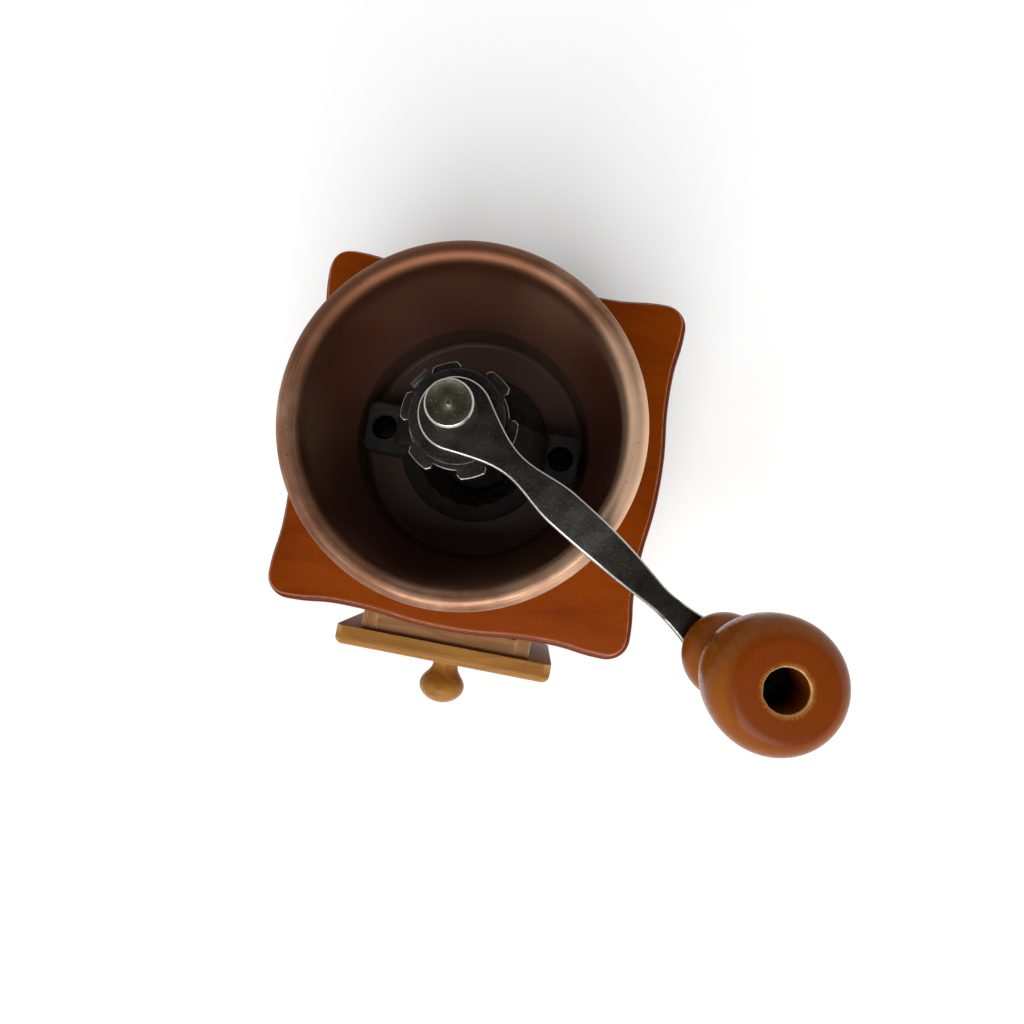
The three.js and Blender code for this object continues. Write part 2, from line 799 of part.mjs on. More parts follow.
function makeInnerBurr(crank) {
  const coneTop = coneUnder + coneHeight;
  const rootRadius = exitRadius - grindGap - fluteDepth;
  const topRadius = coneTopRadius - fluteDepth;
  const cone = fluted(rootRadius, topRadius, coneUnder, coneTop, coneFlutes, fluteDepth);
  const bore = rod(spindleRadius + gap, coneUnder - 1, coneTop + 1, 20);
  const pinHole = crossPin(pinRadius + gap, 4 * exitRadius);
  piece('inner_burr', cut(cone, bore, pinHole), castIron, crank);
  piece('burr_pin', crossPin(pinRadius, pinLength), steel, crank);
}

class Helix extends THREE.Curve {
  getPoint(t, target = new THREE.Vector3()) {
    const from = collarTop + gap + springWire;
    const to = thrustUnder - gap - springWire;
    const angle = 2 * Math.PI * springTurns * t;
    const [x, y] = [springRadius * Math.cos(angle), springRadius * Math.sin(angle)];
    return target.set(x, y, from + (to - from) * t);
  }
}

// Least distance between stretches of the wire that are half a turn or more apart
function leastGap(curve, turns, wire) {
  const steps = 48;
  const points = curve.getPoints(turns * steps);
  let least = Infinity;
  points.forEach((point, i) => {
    for (let j = i + steps / 2; j < points.length; j++) {
      least = Math.min(least, point.distanceTo(points[j]) - 2 * wire);
    }
  });
  return least;
}

function makeSpring(crank) {
  const helix = new Helix();
  const corners = [0, 1, 2, 3, 4].map((i) => {
    const angle = (2 * Math.PI * i) / 5;
    return new THREE.Vector2(springWire * Math.cos(angle), springWire * Math.sin(angle));
  });
  const wire = new THREE.ExtrudeGeometry(new THREE.Shape(corners), {
    steps: springTurns * springStepsPerTurn,
    extrudePath: helix,
    bevelEnabled: false,
  });
  piece('spindle_spring', wire, steel, crank);
  const least = leastGap(helix, springTurns, springWire);
  console.log(`spindle_spring: least gap to itself ${least.toFixed(2)} mm`);
  const thrust = ring(spindleRadius + gap, thrustRadius, thrustUnder, thrustTop, 24);
  piece('thrust_washer', thrust, steel, crank);
}

// Wheel outline: teeth with bevelled corners, the first notch at the disc's tab
function wheelOutline() {
  const outline = new THREE.Shape();
  const step = 360 / wheelTeeth;
  for (let tooth = 0; tooth < wheelTeeth; tooth++) {
    const middle = tabAngle + (tooth + 0.5) * step;
    const at = (radius, degrees) => {
      const angle = radians(middle + degrees);
      return [radius * Math.cos(angle), radius * Math.sin(angle)];
    };
    const arc = (radius, from, to) =>
      outline.absarc(0, 0, radius, radians(middle + from), radians(middle + to));
    arc(wheelRoot, toothHalfAngle - step, -toothHalfAngle);
    outline.lineTo(...at(wheelRadius - toothChamfer, -toothHalfAngle));
    arc(wheelRadius, -toothFlatAngle, toothFlatAngle);
    outline.lineTo(...at(wheelRadius - toothChamfer, toothHalfAngle));
  }
  return outline;
}

function squareHole(from, to) {
  const half = squareHalf + gap;
  return block([-half, -half, from - 1], [half, half, to + 1]);
}

function makeWheel(crank) {
  const wheel = plate(wheelOutline(), wheelUnder, wheelTop, 3);
  const collar = rod(wheelCollar, wheelTop - 1, wheelCollarTop, midSides);
  const bore = rod(spindleRadius + gap, wheelUnder - 1, wheelCollarTop + 1, 24);
  piece('adjusting_wheel', cut(join(wheel, collar), bore), forgedIron, crank);
}

function makeLockDisc(crank) {
  const disc = rod(discRadius, discUnder, discTop, midSides);
  const tabInner = wheelRoot + tabPlay;
  const tabOuter = tabInner + discThick;
  const flat = block([discRadius - 3, -tabHalf, discUnder], [tabOuter, tabHalf, discTop]);
  const bent = block([tabInner, -tabHalf, discUnder - tabDrop], [tabOuter, tabHalf, discTop]);
  const tab = join(flat, bent).rotateZ(radians(tabAngle));
  piece('lock_disc', cut(join(disc, tab), squareHole(discUnder, discTop)), forgedIron, crank);
}

// Plan of the arm: a round head, a neck, a wide middle, a wrist and a round eye
function armPlan() {
  const blend = radians(headBlend);
  const close = radians(eyeBlend);
  const wristX = crankRadius - wristBefore;
  const [headX, headY] = [headRadius * Math.cos(blend), headRadius * Math.sin(blend)];
  const [eyeX, eyeY] = [crankRadius + eyeRadius * Math.cos(close), eyeRadius * Math.sin(close)];
  const edge = [
    [headX, headY],
    [headX + headRadius * 0.8, headY - headRadius * 0.37],
    [neckX - 6, neckHalf],
    [neckX, neckHalf],
    [neckX + 5, neckHalf],
    [armWideX - 6, armHalf],
    [armWideX, armHalf],
    [wristX - 14, armHalf],
    [wristX - 7, neckHalf],
    [wristX, neckHalf],
    [wristX + 4, neckHalf],
    [eyeX - eyeRadius * 0.54, eyeY - eyeRadius * 0.31],
    [eyeX, eyeY],
  ];
  const outline = new THREE.Shape();
  outline.absarc(0, 0, headRadius, blend, 2 * Math.PI - blend);
  for (let i = 1; i < edge.length; i += 3) {
    const [a, b, c] = edge.slice(i, i + 3);
    outline.bezierCurveTo(a[0], -a[1], b[0], -b[1], c[0], -c[1]);
  }
  outline.absarc(crankRadius, 0, eyeRadius, -close, close);
  edge.reverse();
  for (let i = 1; i < edge.length; i += 3) {
    const [a, b, c] = edge.slice(i, i + 3);
    outline.bezierCurveTo(...a, ...b, ...c);
  }
  return outline;
}

// Side view of the arm: level over the hopper, with a slight fall, then a step down to the eye
function armSide() {
  const [start, end] = [-headRadius - 1, crankRadius + eyeRadius + 1];
  const [fall, step] = [armTop - armSag, eyeTop];
  const outline = new THREE.Shape().moveTo(start, armTop);
  outline.lineTo(armFlat, armTop);
  outline.quadraticCurveTo(dropStartX - 12, armTop, dropStartX, fall);
  outline.bezierCurveTo(dropStartX + 12, fall - 2, dropEndX - 7, step, dropEndX, step);
  outline.lineTo(end, step);
  outline.lineTo(end, eyeUnder);
  const [lowStart, lowEnd, low] = [dropStartX - dropLag, dropEndX - dropLag, fall - armThick];
  outline.lineTo(lowEnd, eyeUnder);
  outline.bezierCurveTo(lowEnd - 7, eyeUnder, lowStart + 12, low - 2, lowStart, low);
  outline.quadraticCurveTo(lowStart - 12, armUnder, armFlat, armUnder);
  outline.lineTo(start, armUnder);
  return outline;
}

function makeArm(crank) {
  const plan = plate(armPlan(), eyeUnder - 1, armTop + 1, 6);
  const side = upright(armSide(), headRadius + 1, 6);
  const eye = rod(gripScrewRadius + gap, eyeUnder - 1, eyeTop + 1).translate(crankRadius, 0, 0);
  const arm = cut(common(plan, side), squareHole(armUnder, armTop), eye);
  piece('crank_arm', arm, forgedIron, crank);
}

function makeCapNut(crank) {
  const body = turned(
    [
      [0, capUnder],
      [capRadius - capChamfer / 2, capUnder],
      [capRadius, capUnder + capChamfer / 2],
      [capRadius, capTop - capChamfer],
      [capRadius - capChamfer, capTop],
      [0, capTop],
    ],
    midSides,
  );
  const bore = rod(threadRadius + gap, capUnder - 1, capTop - capRoof, 20);
  piece('cap_nut', cut(body, bore), forgedIron, crank);
}

// Grip profile: a bead above the washer, a groove, then a bulb with a flat face
function gripBody() {
  const top = gripUnder + gripLength;
  const beadZ = gripUnder + beadAt;
  const grooveZ = gripUnder + grooveAt;
  const bulbZ = top - bulbFromTop;
  const path = new THREE.Path().moveTo(0, gripUnder).lineTo(gripFoot, gripUnder);
  path.quadraticCurveTo(beadRadius, gripUnder, beadRadius, beadZ);
  path.bezierCurveTo(beadRadius, beadZ + 6, grooveRadius, grooveZ - 2.5, grooveRadius, grooveZ);
  path.bezierCurveTo(grooveRadius, grooveZ + 7, bulbRadius, bulbZ - 12, bulbRadius, bulbZ);
  path.quadraticCurveTo(bulbRadius, top - 2.1, faceRadius, top);
  path.lineTo(0, top);
  return turned(path.getPoints(5).map(({ x, y }) => [x, y]), midSides);
}

// Grip and screw, in a group with the grip's axis at x = y = 0
function makeGrip(crank) {
  const grip = new THREE.Group();
  grip.position.x = crankRadius;
  crank.add(grip);
  const top = gripUnder + gripLength;
  const bore = rod(gripScrewRadius + gap, gripUnder - 1, top + 1, 20);
  const sink = rod(sinkRadius, gripSinkFloor, top + 1, 24);
  piece('handle_knob', cut(gripBody(), bore, sink), gripWood, grip);
  const washerTop = gripWasherUnder + gripWasherThick;
  const washer = ring(gripScrewRadius + gap, gripWasherRadius, gripWasherUnder, washerTop, 24);
  piece('handle_washer', washer, steel, grip);
  const headUnder = gripSinkFloor + gap;
  const headTop = headUnder + gripScrewHeadThick;
  const screw = turned(
    [
      [0, eyeUnder - gripScrewEnd],
      [gripScrewRadius, eyeUnder - gripScrewEnd],
      [gripScrewRadius, headUnder],
      [gripScrewHead, headUnder],
      [gripScrewHead, headTop - 1],
      [gripScrewHead * 0.6, headTop],
      [0, headTop],
    ],
    20,
  );
  const past = gripScrewHead + 1;
  const slot = block([-past, -slotWidth / 2, headTop - 1.2], [past, slotWidth / 2, headTop + 1]);
  piece('handle_screw', cut(screw, slot), steel, grip);
}

// Everything that turns with the crank
function makeCrank() {
  const crank = new THREE.Group();
  crank.rotation.z = radians(crankAngle);
  mill.add(crank);
  makeSpindle(crank);
  makeInnerBurr(crank);
  makeSpring(crank);
  makeWheel(crank);
  makeLockDisc(crank);
  makeArm(crank);
  makeCapNut(crank);
  makeGrip(crank);
}

makeBoards();
makeWalls();
makeCaseFittings();
makeDrawer();
makeHopper();
makeBridge();
makeBridgeBolts();
makeOuterBurr();
makeBearing();
makeCrank();

export default mill;
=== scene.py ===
"""Hand coffee mill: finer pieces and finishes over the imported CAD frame.

Sizes inside the makers are millimetres in the CAD's own frame: the underside of the base board
is z = 0, the mill axis is x = y = 0, and the drawer opens towards -Y.
"""

import math

import bmesh
import bpy
from bpy.props import FloatProperty, FloatVectorProperty, IntProperty, PointerProperty
from mathutils import Matrix, Vector, noise


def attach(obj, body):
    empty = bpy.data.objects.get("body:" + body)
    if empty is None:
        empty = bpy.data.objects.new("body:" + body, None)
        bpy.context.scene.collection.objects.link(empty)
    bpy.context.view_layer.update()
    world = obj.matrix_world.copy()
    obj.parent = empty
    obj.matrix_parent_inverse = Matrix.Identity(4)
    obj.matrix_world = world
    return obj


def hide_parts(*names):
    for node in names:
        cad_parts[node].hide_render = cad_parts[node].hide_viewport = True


bl_info = {
    "name": "Hand Coffee Mill",
    "version": (1, 0, 0),
    "blender": (4, 5, 0),
    "location": "View3D > Sidebar > Coffee Mill",
    "description": "Makes a wooden box coffee mill with a copper hopper and an iron crank",
    "category": "Object",
}

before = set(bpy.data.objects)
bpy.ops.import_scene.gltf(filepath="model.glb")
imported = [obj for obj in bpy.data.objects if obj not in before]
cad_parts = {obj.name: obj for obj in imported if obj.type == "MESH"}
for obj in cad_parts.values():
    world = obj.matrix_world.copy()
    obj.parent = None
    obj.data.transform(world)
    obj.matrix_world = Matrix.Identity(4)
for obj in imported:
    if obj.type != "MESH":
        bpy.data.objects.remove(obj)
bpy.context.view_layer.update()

MM = 0.001
FLOOR_REACH = 6.0  # metres

# Heights
BASE_TOP = 12.0
WALL_TOP = 73.0
DECK = 85.0
FLANGE_UNDER = 86.2
FLANGE_TOP = 88.7
BURR_UNDER = 69.0
THROAT = 76.0
CONE_UNDER = 69.5
CONE_TOP = 84.0
COLLAR_UNDER = 92.0
COLLAR_TOP = 94.0
FOOT_TOP = 102.0
BOLT_SEAT = 97.5
RIM_TOP = 141.9
HUB_UNDER = 129.0
THRUST_UNDER = 127.8
THRUST_TOP = 128.7
WHEEL_UNDER = 142.2
WHEEL_TOP = 145.2
WHEEL_COLLAR_TOP = 149.2
DISC_UNDER = 149.5
DISC_TOP = 151.0
ARM_UNDER = 151.3
ARM_TOP = 155.3
CAP_UNDER = 155.6
CAP_TOP = 169.7
EYE_UNDER = 136.0
EYE_TOP = 140.0
WASHER_UNDER = 140.3
WASHER_TOP = 141.1
GRIP_UNDER = 141.4
GRIP_TOP = 190.0
SINK_FLOOR = 179.0
RUNNER_TOP = 20.0
DRAWER_UNDER = 12.3
DRAWER_FLOOR = 15.8
DRAWER_TOP = 65.5
DRAWER_BACK_TOP = 62.0
OPENING_TOP = 66.1
FRONT_UNDER = 13.0
FRONT_TOP = 67.9

# Boards above and below the case
BOARD_LOBE = 71.8
BOARD_WAIST = 70.2
BOARD_BELLY = 72.8
WAIST_AT = 40.1
LOBE_ROUND = 9.2
BOARD_DEPTH_SHARE = 0.98
BOARD_THICK = 12.0
MOULDING_HEIGHT = 8.0
MOULDING_INSET = 2.2

# Plan sizes
CASE = 57.0
INNER = 49.0
OPENING = 35.6
DRAWER = 35.0
DRAWER_INSIDE = 29.0
DRAWER_DEPTH = 100.0
DRAWER_WALL = 6.0
PANEL = 44.9
PANEL_THICK = 8.0
INNER_FRONT = 7.0
SCREW_SPACING = 76.0
DOWEL_SPACING = 70.0
BURR_HOLE = 23.5
PAN_FLOOR = 41.0
PAN = 42.0
RIM = 56.5
ROLL = 3.6
SHEET = 1.2
BOLT_X = 32.2
FOOT_INNER = 21.8
ARCH_OUTER = 27.0
FOOT_OUTER = 39.0
CRANK = 101.9
WHEEL = 17.5
WHEEL_ROOT = 14.9
WHEEL_COLLAR = 9.0
DISC = 13.9
TAB_ANGLE = 175.4
ARM_HEAD = 10.6
ARM_NECK = 3.5
ARM_BROAD = 5.5
ARM_EYE = 8.0
CAP = 6.6
KNURL = 0.32

# Screws and holes
GAP = 0.3
BOLT = 2.5
BOLT_HOLE = BOLT + GAP
BOLT_HEAD = 4.3
SPINDLE = 4.0
SPINDLE_HOLE = SPINDLE + GAP
SQUARE = 2.8
SQUARE_HOLE = SQUARE + GAP
PIN_HOLE = 1.5
PIN_HEIGHT = CONE_UNDER + 9
KNOB_SCREW = 2.0
KNOB_SCREW_HOLE = KNOB_SCREW + GAP
SLOT_HALF = 0.55

# Where the turning groups stand
TURNED = Matrix.Rotation(math.radians(-31), 4, "Z")
GRIP_AXIS = TURNED @ Matrix.Translation((CRANK, 0, 0))
DRAWER_PLACE = Matrix.Translation((0, -78.5, 0))
KNOB_HEIGHT = (FRONT_UNDER + FRONT_TOP) / 2
FORWARDS = (
    DRAWER_PLACE
    @ Matrix.Translation((0, 0, KNOB_HEIGHT))
    @ Matrix.Rotation(math.radians(90), 4, "X")
)


def screen(red, green, blue):
    """A colour as it looks on screen, from 0 to 255, in Blender's linear values."""
    shares = [value / 255 for value in (red, green, blue)]
    return tuple(
        share / 12.92 if share <= 0.04045 else ((share + 0.055) / 1.055) ** 2.4
        for share in shares
    )


def colour_setting(name, description, red, green, blue):
    return FloatVectorProperty(
        name=name,
        description=description,
        subtype="COLOR",
        size=3,
        min=0.0,
        max=1.0,
        default=screen(red, green, blue),
    )


def share_setting(name, description, default):
    return FloatProperty(
        name=name, description=description, subtype="FACTOR", min=0.0, max=1.0, default=default
    )


def length_setting(name, description, millimetres):
    return FloatProperty(
        name=name, description=description, unit="LENGTH", min=0.0, default=millimetres * MM
    )


class WoodSettings(bpy.types.PropertyGroup):
    """Colours and polish of the wooden pieces."""

    board: colour_setting("Varnish", "Orange-brown varnish of boards and case", 126, 53, 1)
    board_deep: colour_setting("Varnish grain", "Grain lines of boards and case", 86, 30, 1)
    # Edge colour of boards and case: rubbing and painted highlight on the upper rounding.
    board_edge: colour_setting("Worn edge", "Rubbed mouldings of boards and case", 190, 122, 84)
    drawer: colour_setting("Drawer", "Yellow-brown wood of the drawer", 154, 107, 44)
    drawer_deep: colour_setting("Drawer grain", "Grain lines of the drawer", 126, 80, 30)
    # Edge colour of the drawer: rubbing and painted highlight on its rounded edges.
    drawer_edge: colour_setting("Drawer edge", "Rubbed edges of the drawer", 204, 166, 118)
    inside: colour_setting("Drawer inside", "Bare wood inside the drawer", 150, 106, 68)
    inside_deep: colour_setting("Inside grain", "Grain of the bare wood", 116, 76, 44)
    grip: colour_setting("Grip", "Turned wood of grip and knob", 132, 70, 10)
    grip_deep: colour_setting("Grip grain", "Grain lines of grip and knob", 98, 47, 8)
    # Redder end grain of the grip, partly real and partly painted shade on its top face.
    grip_end_grain_and_shade: colour_setting("Grip end grain", "Redder end grain of the grip", 108, 42, 2)
    raw: colour_setting("Raw wood", "Bare wood where the grip is chipped", 198, 152, 104)
    polish: share_setting("Polish", "Roughness of the varnish", 0.24)
    coat: share_setting("Varnish coat", "Weight of the clear varnish", 0.04)
    ring_spacing: length_setting("Ring spacing", "Distance between growth rings", 3.2)


class MetalSettings(bpy.types.PropertyGroup):
    """Colours and polish of the metal pieces."""

    copper: colour_setting("Copper", "Rubbed copper of the rim", 228, 190, 158)
    # Brown patina colour, also used as painted shade on the rim's top and left side.
    copper_patina_and_shade: colour_setting("Aged copper", "Brown patina of the rim", 118, 78, 57)
    copper_dark: colour_setting("Dark copper", "Inside of the hopper", 116, 64, 44)
    pan: colour_setting("Pan", "Blackened copper at the bottom of the hopper", 66, 48, 40)
    iron: colour_setting("Cast iron", "Bridge and burrs", 19, 17, 15)
    forged: colour_setting("Forged iron", "Crank arm, disc and wheel", 67, 65, 61)
    # Bright edge colour of forged iron: rubbing and painted edge highlight.
    forged_wear_and_highlight: colour_setting("Worn iron", "Bright edges of forged iron", 204, 200, 190)
    nut: colour_setting("Cap nut", "Olive-grey steel of the cap nut", 114, 110, 92)
    steel: colour_setting("Steel", "Screws, washers, nuts and spring", 132, 128, 118)
    copper_polish: share_setting("Copper polish", "Roughness of the rim", 0.5)
    iron_polish: share_setting("Iron polish", "Roughness of forged iron", 0.42)


class ShapeSettings(bpy.types.PropertyGroup):
    """Sizes that only the finer pieces have."""

    eased: length_setting("Eased edge", "Rounding of the case's and drawer's edges", 0.5)
    casting: length_setting("Casting detail", "Voxel size of the cast bridge", 0.5)
    arm_edge: length_setting("Arm edge", "Rounding of the crank arm's edges", 0.7)
    chips: length_setting("Chips", "Depth of the chips around the grip's sink", 0.3)
    knurls: IntProperty(
        name="Knurls", description="Ridges around the cap nut", min=12, max=120, default=52
    )


class StageSettings(bpy.types.PropertyGroup):
    """Light, floor and camera."""

    floor: share_setting("Floor", "How pale the floor is", 0.86)
    glow: share_setting("Floor glow", "Share of the floor's shown colour that has no shadow", 0.05)
    horizon: FloatProperty(name="Horizon", description="Sky low down", min=0.0, default=1.2)
    zenith: FloatProperty(name="Zenith", description="Sky overhead", min=0.0, default=0.08)
    key: FloatProperty(name="Key lamp", description="Power", unit="POWER", min=0.0, default=66.0)
    side: FloatProperty(name="Side lamp", description="Power", unit="POWER", min=0.0, default=5.0)
    lens: FloatProperty(
        name="Lens", description="Focal length", unit="CAMERA", min=1.0, default=22.852
    )


class Form:
    """A shape in millimetres: its points, a mark on each point, and its faces."""

    def __init__(self):
        self.points = []
        self.marks = []
        self.faces = []

    def loop(self, points, mark=0.0):
        first = len(self.points)
        self.points.extend(Vector(point) for point in points)
        self.marks.extend([mark] * len(points))
        return list(range(first, len(self.points)))

    def skin(self, low, high):
        """Joins two closed loops of equal length, or a loop and a single point."""
        count = max(len(low), len(high))
        for i in range(count):
            j = (i + 1) % count
            corners = (
                low[i % len(low)],
                low[j % len(low)],
                high[j % len(high)],
                high[i % len(high)],
            )
            self.faces.append(list(dict.fromkeys(corners)))

    def add(self, other):
        first = len(self.points)
        self.points.extend(other.points)
        self.marks.extend(other.marks)
        self.faces.extend([index + first for index in face] for face in other.faces)
        return self

    def placed(self, matrix):
        self.points = [matrix @ point for point in self.points]
        return self

    def moved(self, x=0.0, y=0.0, z=0.0):
        return self.placed(Matrix.Translation((x, y, z)))


def stack(loops, marks=None, closed=False):
    """Skins loops in order. The ends are capped, or joined where it is closed."""
    form = Form()
    marks = marks or [0.0] * len(loops)
    rings = [form.loop(points, mark) for points, mark in zip(loops, marks)]
    for low, high in zip(rings, rings[1:]):
        form.skin(low, high)
    if closed:
        form.skin(rings[-1], rings[0])
    else:
        form.faces.extend(list(ring) for ring in (rings[0], rings[-1]) if len(ring) > 1)
    return form


def turned(profile, sides, marks=None, closed=False):
    """Revolves (radius, height) points about Z."""
    turns = [2 * math.pi * i / sides for i in range(sides)]
    loops = []
    for radius, height in profile:
        if radius < 1e-6:
            loops.append([(0, 0, height)])
        else:
            loops.append([(radius * math.cos(t), radius * math.sin(t), height) for t in turns])
    return stack(loops, marks, closed)


def rod(radius, low, high, sides=48):
    return turned([(0, low), (radius, low), (radius, high), (0, high)], sides)


def box(low, high):
    """A plain box, for cutting."""
    (x0, y0, z0), (x1, y1, z1) = low, high
    corners = [(x0, y0), (x1, y0), (x1, y1), (x0, y1)]
    return stack([[(x, y, z) for x, y in corners] for z in (z0, z1)])


def arc(centre, radius, start, end, steps):
    """Points on an arc, with both ends. Angles are degrees."""
    turns = [math.radians(start + (end - start) * i / steps) for i in range(steps + 1)]
    return [
        Vector((centre[0] + radius * math.cos(t), centre[1] + radius * math.sin(t)))
        for t in turns
    ]


def curve(points, steps):
    """Points of a Bezier curve of any degree, without its last one."""
    line = []
    for i in range(steps):
        share = i / steps
        level = [Vector(point) for point in points]
        while len(level) > 1:
            level = [a.lerp(b, share) for a, b in zip(level, level[1:])]
        line.append(level[0])
    return line


def soften(points, radius, steps=4, closed=False):
    """Rounds the corners of a line of (x, y) points."""
    points = [Vector(point) for point in points]
    soft = []
    for i, here in enumerate(points):
        if not closed and i in (0, len(points) - 1):
            soft.append(here)
            continue
        back, on = points[i - 1] - here, points[(i + 1) % len(points)] - here
        opening = back.angle(on)
        if opening > math.pi - 0.2:
            soft.append(here)
            continue
        half = opening / 2
        reach = min(radius / math.tan(half), 0.45 * min(back.length, on.length))
        middle = (back.normalized() + on.normalized()).normalized()
        centre = here + middle * (reach / math.cos(half))
        first = here + back.normalized() * reach - centre
        last = here + on.normalized() * reach - centre
        sweep = first.angle_signed(last)
        for k in range(steps + 1):
            turn = Matrix.Rotation(-sweep * k / steps, 2)
            soft.append(centre + turn @ first)
    return soft


def inset(outline, distance):
    """Draws a counter-clockwise outline in, at right angles to it."""
    drawn = []
    for i, here in enumerate(outline):
        back = (here - outline[i - 1]).normalized()
        on = (outline[(i + 1) % len(outline)] - here).normalized()
        inward = Vector((-back.y, back.x)) + Vector((-on.y, on.x))
        inward.normalize()
        stretch = max(0.5, inward.dot(Vector((-back.y, back.x))))
        drawn.append(here + inward * (distance / stretch))
    return drawn


def level(outline, height):
    return [(point.x, point.y, height) for point in outline]


def quarter(soft, steps=4):
    """A rounded edge as (inset, rise) pairs, from the face out to the side."""
    turns = [math.pi / 2 * i / steps for i in range(steps + 1)]
    return [(soft * (1 - math.sin(t)), soft * (1 - math.cos(t))) for t in turns]


def plate(outline, low, high, soft, steps=4, margin=0.5):
    """A plate with its upper and lower edges rounded and a margin inside them.

    outline gives the plan's points for how far it is drawn in.
    """
    edge = [(soft + margin, 0.0)] + quarter(soft, steps)
    sections = [(draw, low + rise) for draw, rise in edge]
    sections += [(draw, high - rise) for draw, rise in reversed(edge)]
    return stack([level(outline(draw), height) for draw, height in sections])


def rectangle(half_x, half_y, round_off, steps=6):
    """A rectangle with round corners, as an outline that can be drawn in."""

    def outline(draw):
        radius = max(round_off - draw, 0.02)
        x, y = half_x - draw - radius, half_y - draw - radius
        points = []
        for i, centre in enumerate([(x, y), (-x, y), (-x, -y), (x, -y)]):
            points += arc(centre, radius, 90 * i, 90 * (i + 1), steps)
        return points

    return outline


def slab(low, high, corner, soft):
    """A board between two corners, rounded in plan and eased above and below."""
    half = [(b - a) / 2 for a, b in zip(low, high)]
    middle = [(a + b) / 2 for a, b in zip(low, high)]
    outline = rectangle(half[0], half[1], corner)
    return plate(outline, low[2], high[2], soft, 3).moved(middle[0], middle[1])


def make(name, form):
    """A new object of a form, with its marks, and its faces turned outwards."""
    mesh = bpy.data.meshes.new(name)
    mesh.from_pydata([point * MM for point in form.points], [], form.faces)
    marks = mesh.attributes.new("mark", "FLOAT", "POINT")
    marks.data.foreach_set("value", form.marks)
    work = bmesh.new()
    work.from_mesh(mesh)
    bmesh.ops.recalc_face_normals(work, faces=work.faces)
    work.to_mesh(mesh)
    work.free()
    piece = bpy.data.objects.new(name, mesh)
    bpy.context.scene.collection.objects.link(piece)
    return piece


def settle(piece):
    """Applies a piece's modifiers."""
    seen = bpy.context.evaluated_depsgraph_get()
    whole = piece.evaluated_get(seen)
    mesh = bpy.data.meshes.new_from_object(whole, preserve_all_data_layers=True, depsgraph=seen)
    bare = piece.data
    piece.modifiers.clear()
    piece.data = mesh
    bpy.data.meshes.remove(bare)


def mark_outer_edges(piece, low=0.06, high=0.28):
    """Stores how exposed each point is, because rubbing reaches outer edges first; the same mark
    drives painted edge highlights.

    A point on a face of over a square centimetre counts as lying in the open.
    """
    work = bmesh.new()
    work.from_mesh(piece.data)
    layer = work.verts.layers.float.new("wear_and_highlight")
    for point in work.verts:
        turns = [
            edge.calc_face_angle_signed(0.0) for edge in point.link_edges if edge.is_manifold
        ]
        mean = sum(turns) / max(1, len(turns))
        if any(face.calc_area() > 1e-4 for face in point.link_faces):
            mean = 0.0
        point[layer] = min(1.0, max(0.0, (mean - low) / (high - low)))
    work.to_mesh(piece.data)
    work.free()


def carve(piece, cutter, how="DIFFERENCE"):
    """Cuts a form out of a piece, or joins it on."""
    tool = make("cutter", cutter)
    cut = piece.modifiers.new("cut", "BOOLEAN")
    cut.operation = how
    cut.object = tool
    settle(piece)
    mesh = tool.data
    bpy.data.objects.remove(tool)
    bpy.data.meshes.remove(mesh)


def seat(piece, body, slot, material, *nodes, crease=38):
    """Shades a piece, gives it its finish, hangs it under its body and hides the CAD nodes it
    stands for.
    """
    piece.data.shade_smooth()
    piece.data.set_sharp_from_angle(angle=math.radians(crease))
    even = piece.modifiers.new("even faces", "WEIGHTED_NORMAL")
    even.keep_sharp = True
    piece.data.materials.clear()
    piece.data.materials.append(material)
    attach(piece, body)
    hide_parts(*nodes)


class Value:
    """A node's output, on which Python sums can be done."""

    def __init__(self, finish, socket):
        self.finish = finish
        self.socket = socket

    def sibling(self, output):
        return Value(self.finish, self.socket.node.outputs[output])

    def __add__(self, other):
        return self.finish.sum("ADD", self, other)

    def __radd__(self, other):
        return self.finish.sum("ADD", other, self)

    def __sub__(self, other):
        return self.finish.sum("SUBTRACT", self, other)

    def __rsub__(self, other):
        return self.finish.sum("SUBTRACT", other, self)

    def __mul__(self, other):
        return self.finish.sum("MULTIPLY", self, other)

    def __rmul__(self, other):
        return self.finish.sum("MULTIPLY", other, self)

    def __truediv__(self, other):
        return self.finish.sum("DIVIDE", self, other)

    def __pow__(self, other):
        return self.finish.sum("POWER", self, other)

    def fraction(self):
        return self.finish.sum("FRACT", self)

    def size(self):
        return self.finish.sum("ABSOLUTE", self)

    def between(self, low, high):
        """Rises softly from 0 at low to 1 at high."""
        return self.finish.node(
            "MapRange",
            {"interpolation_type": "SMOOTHSTEP"},
            {"Value": self, "From Min": low, "From Max": high},
        )


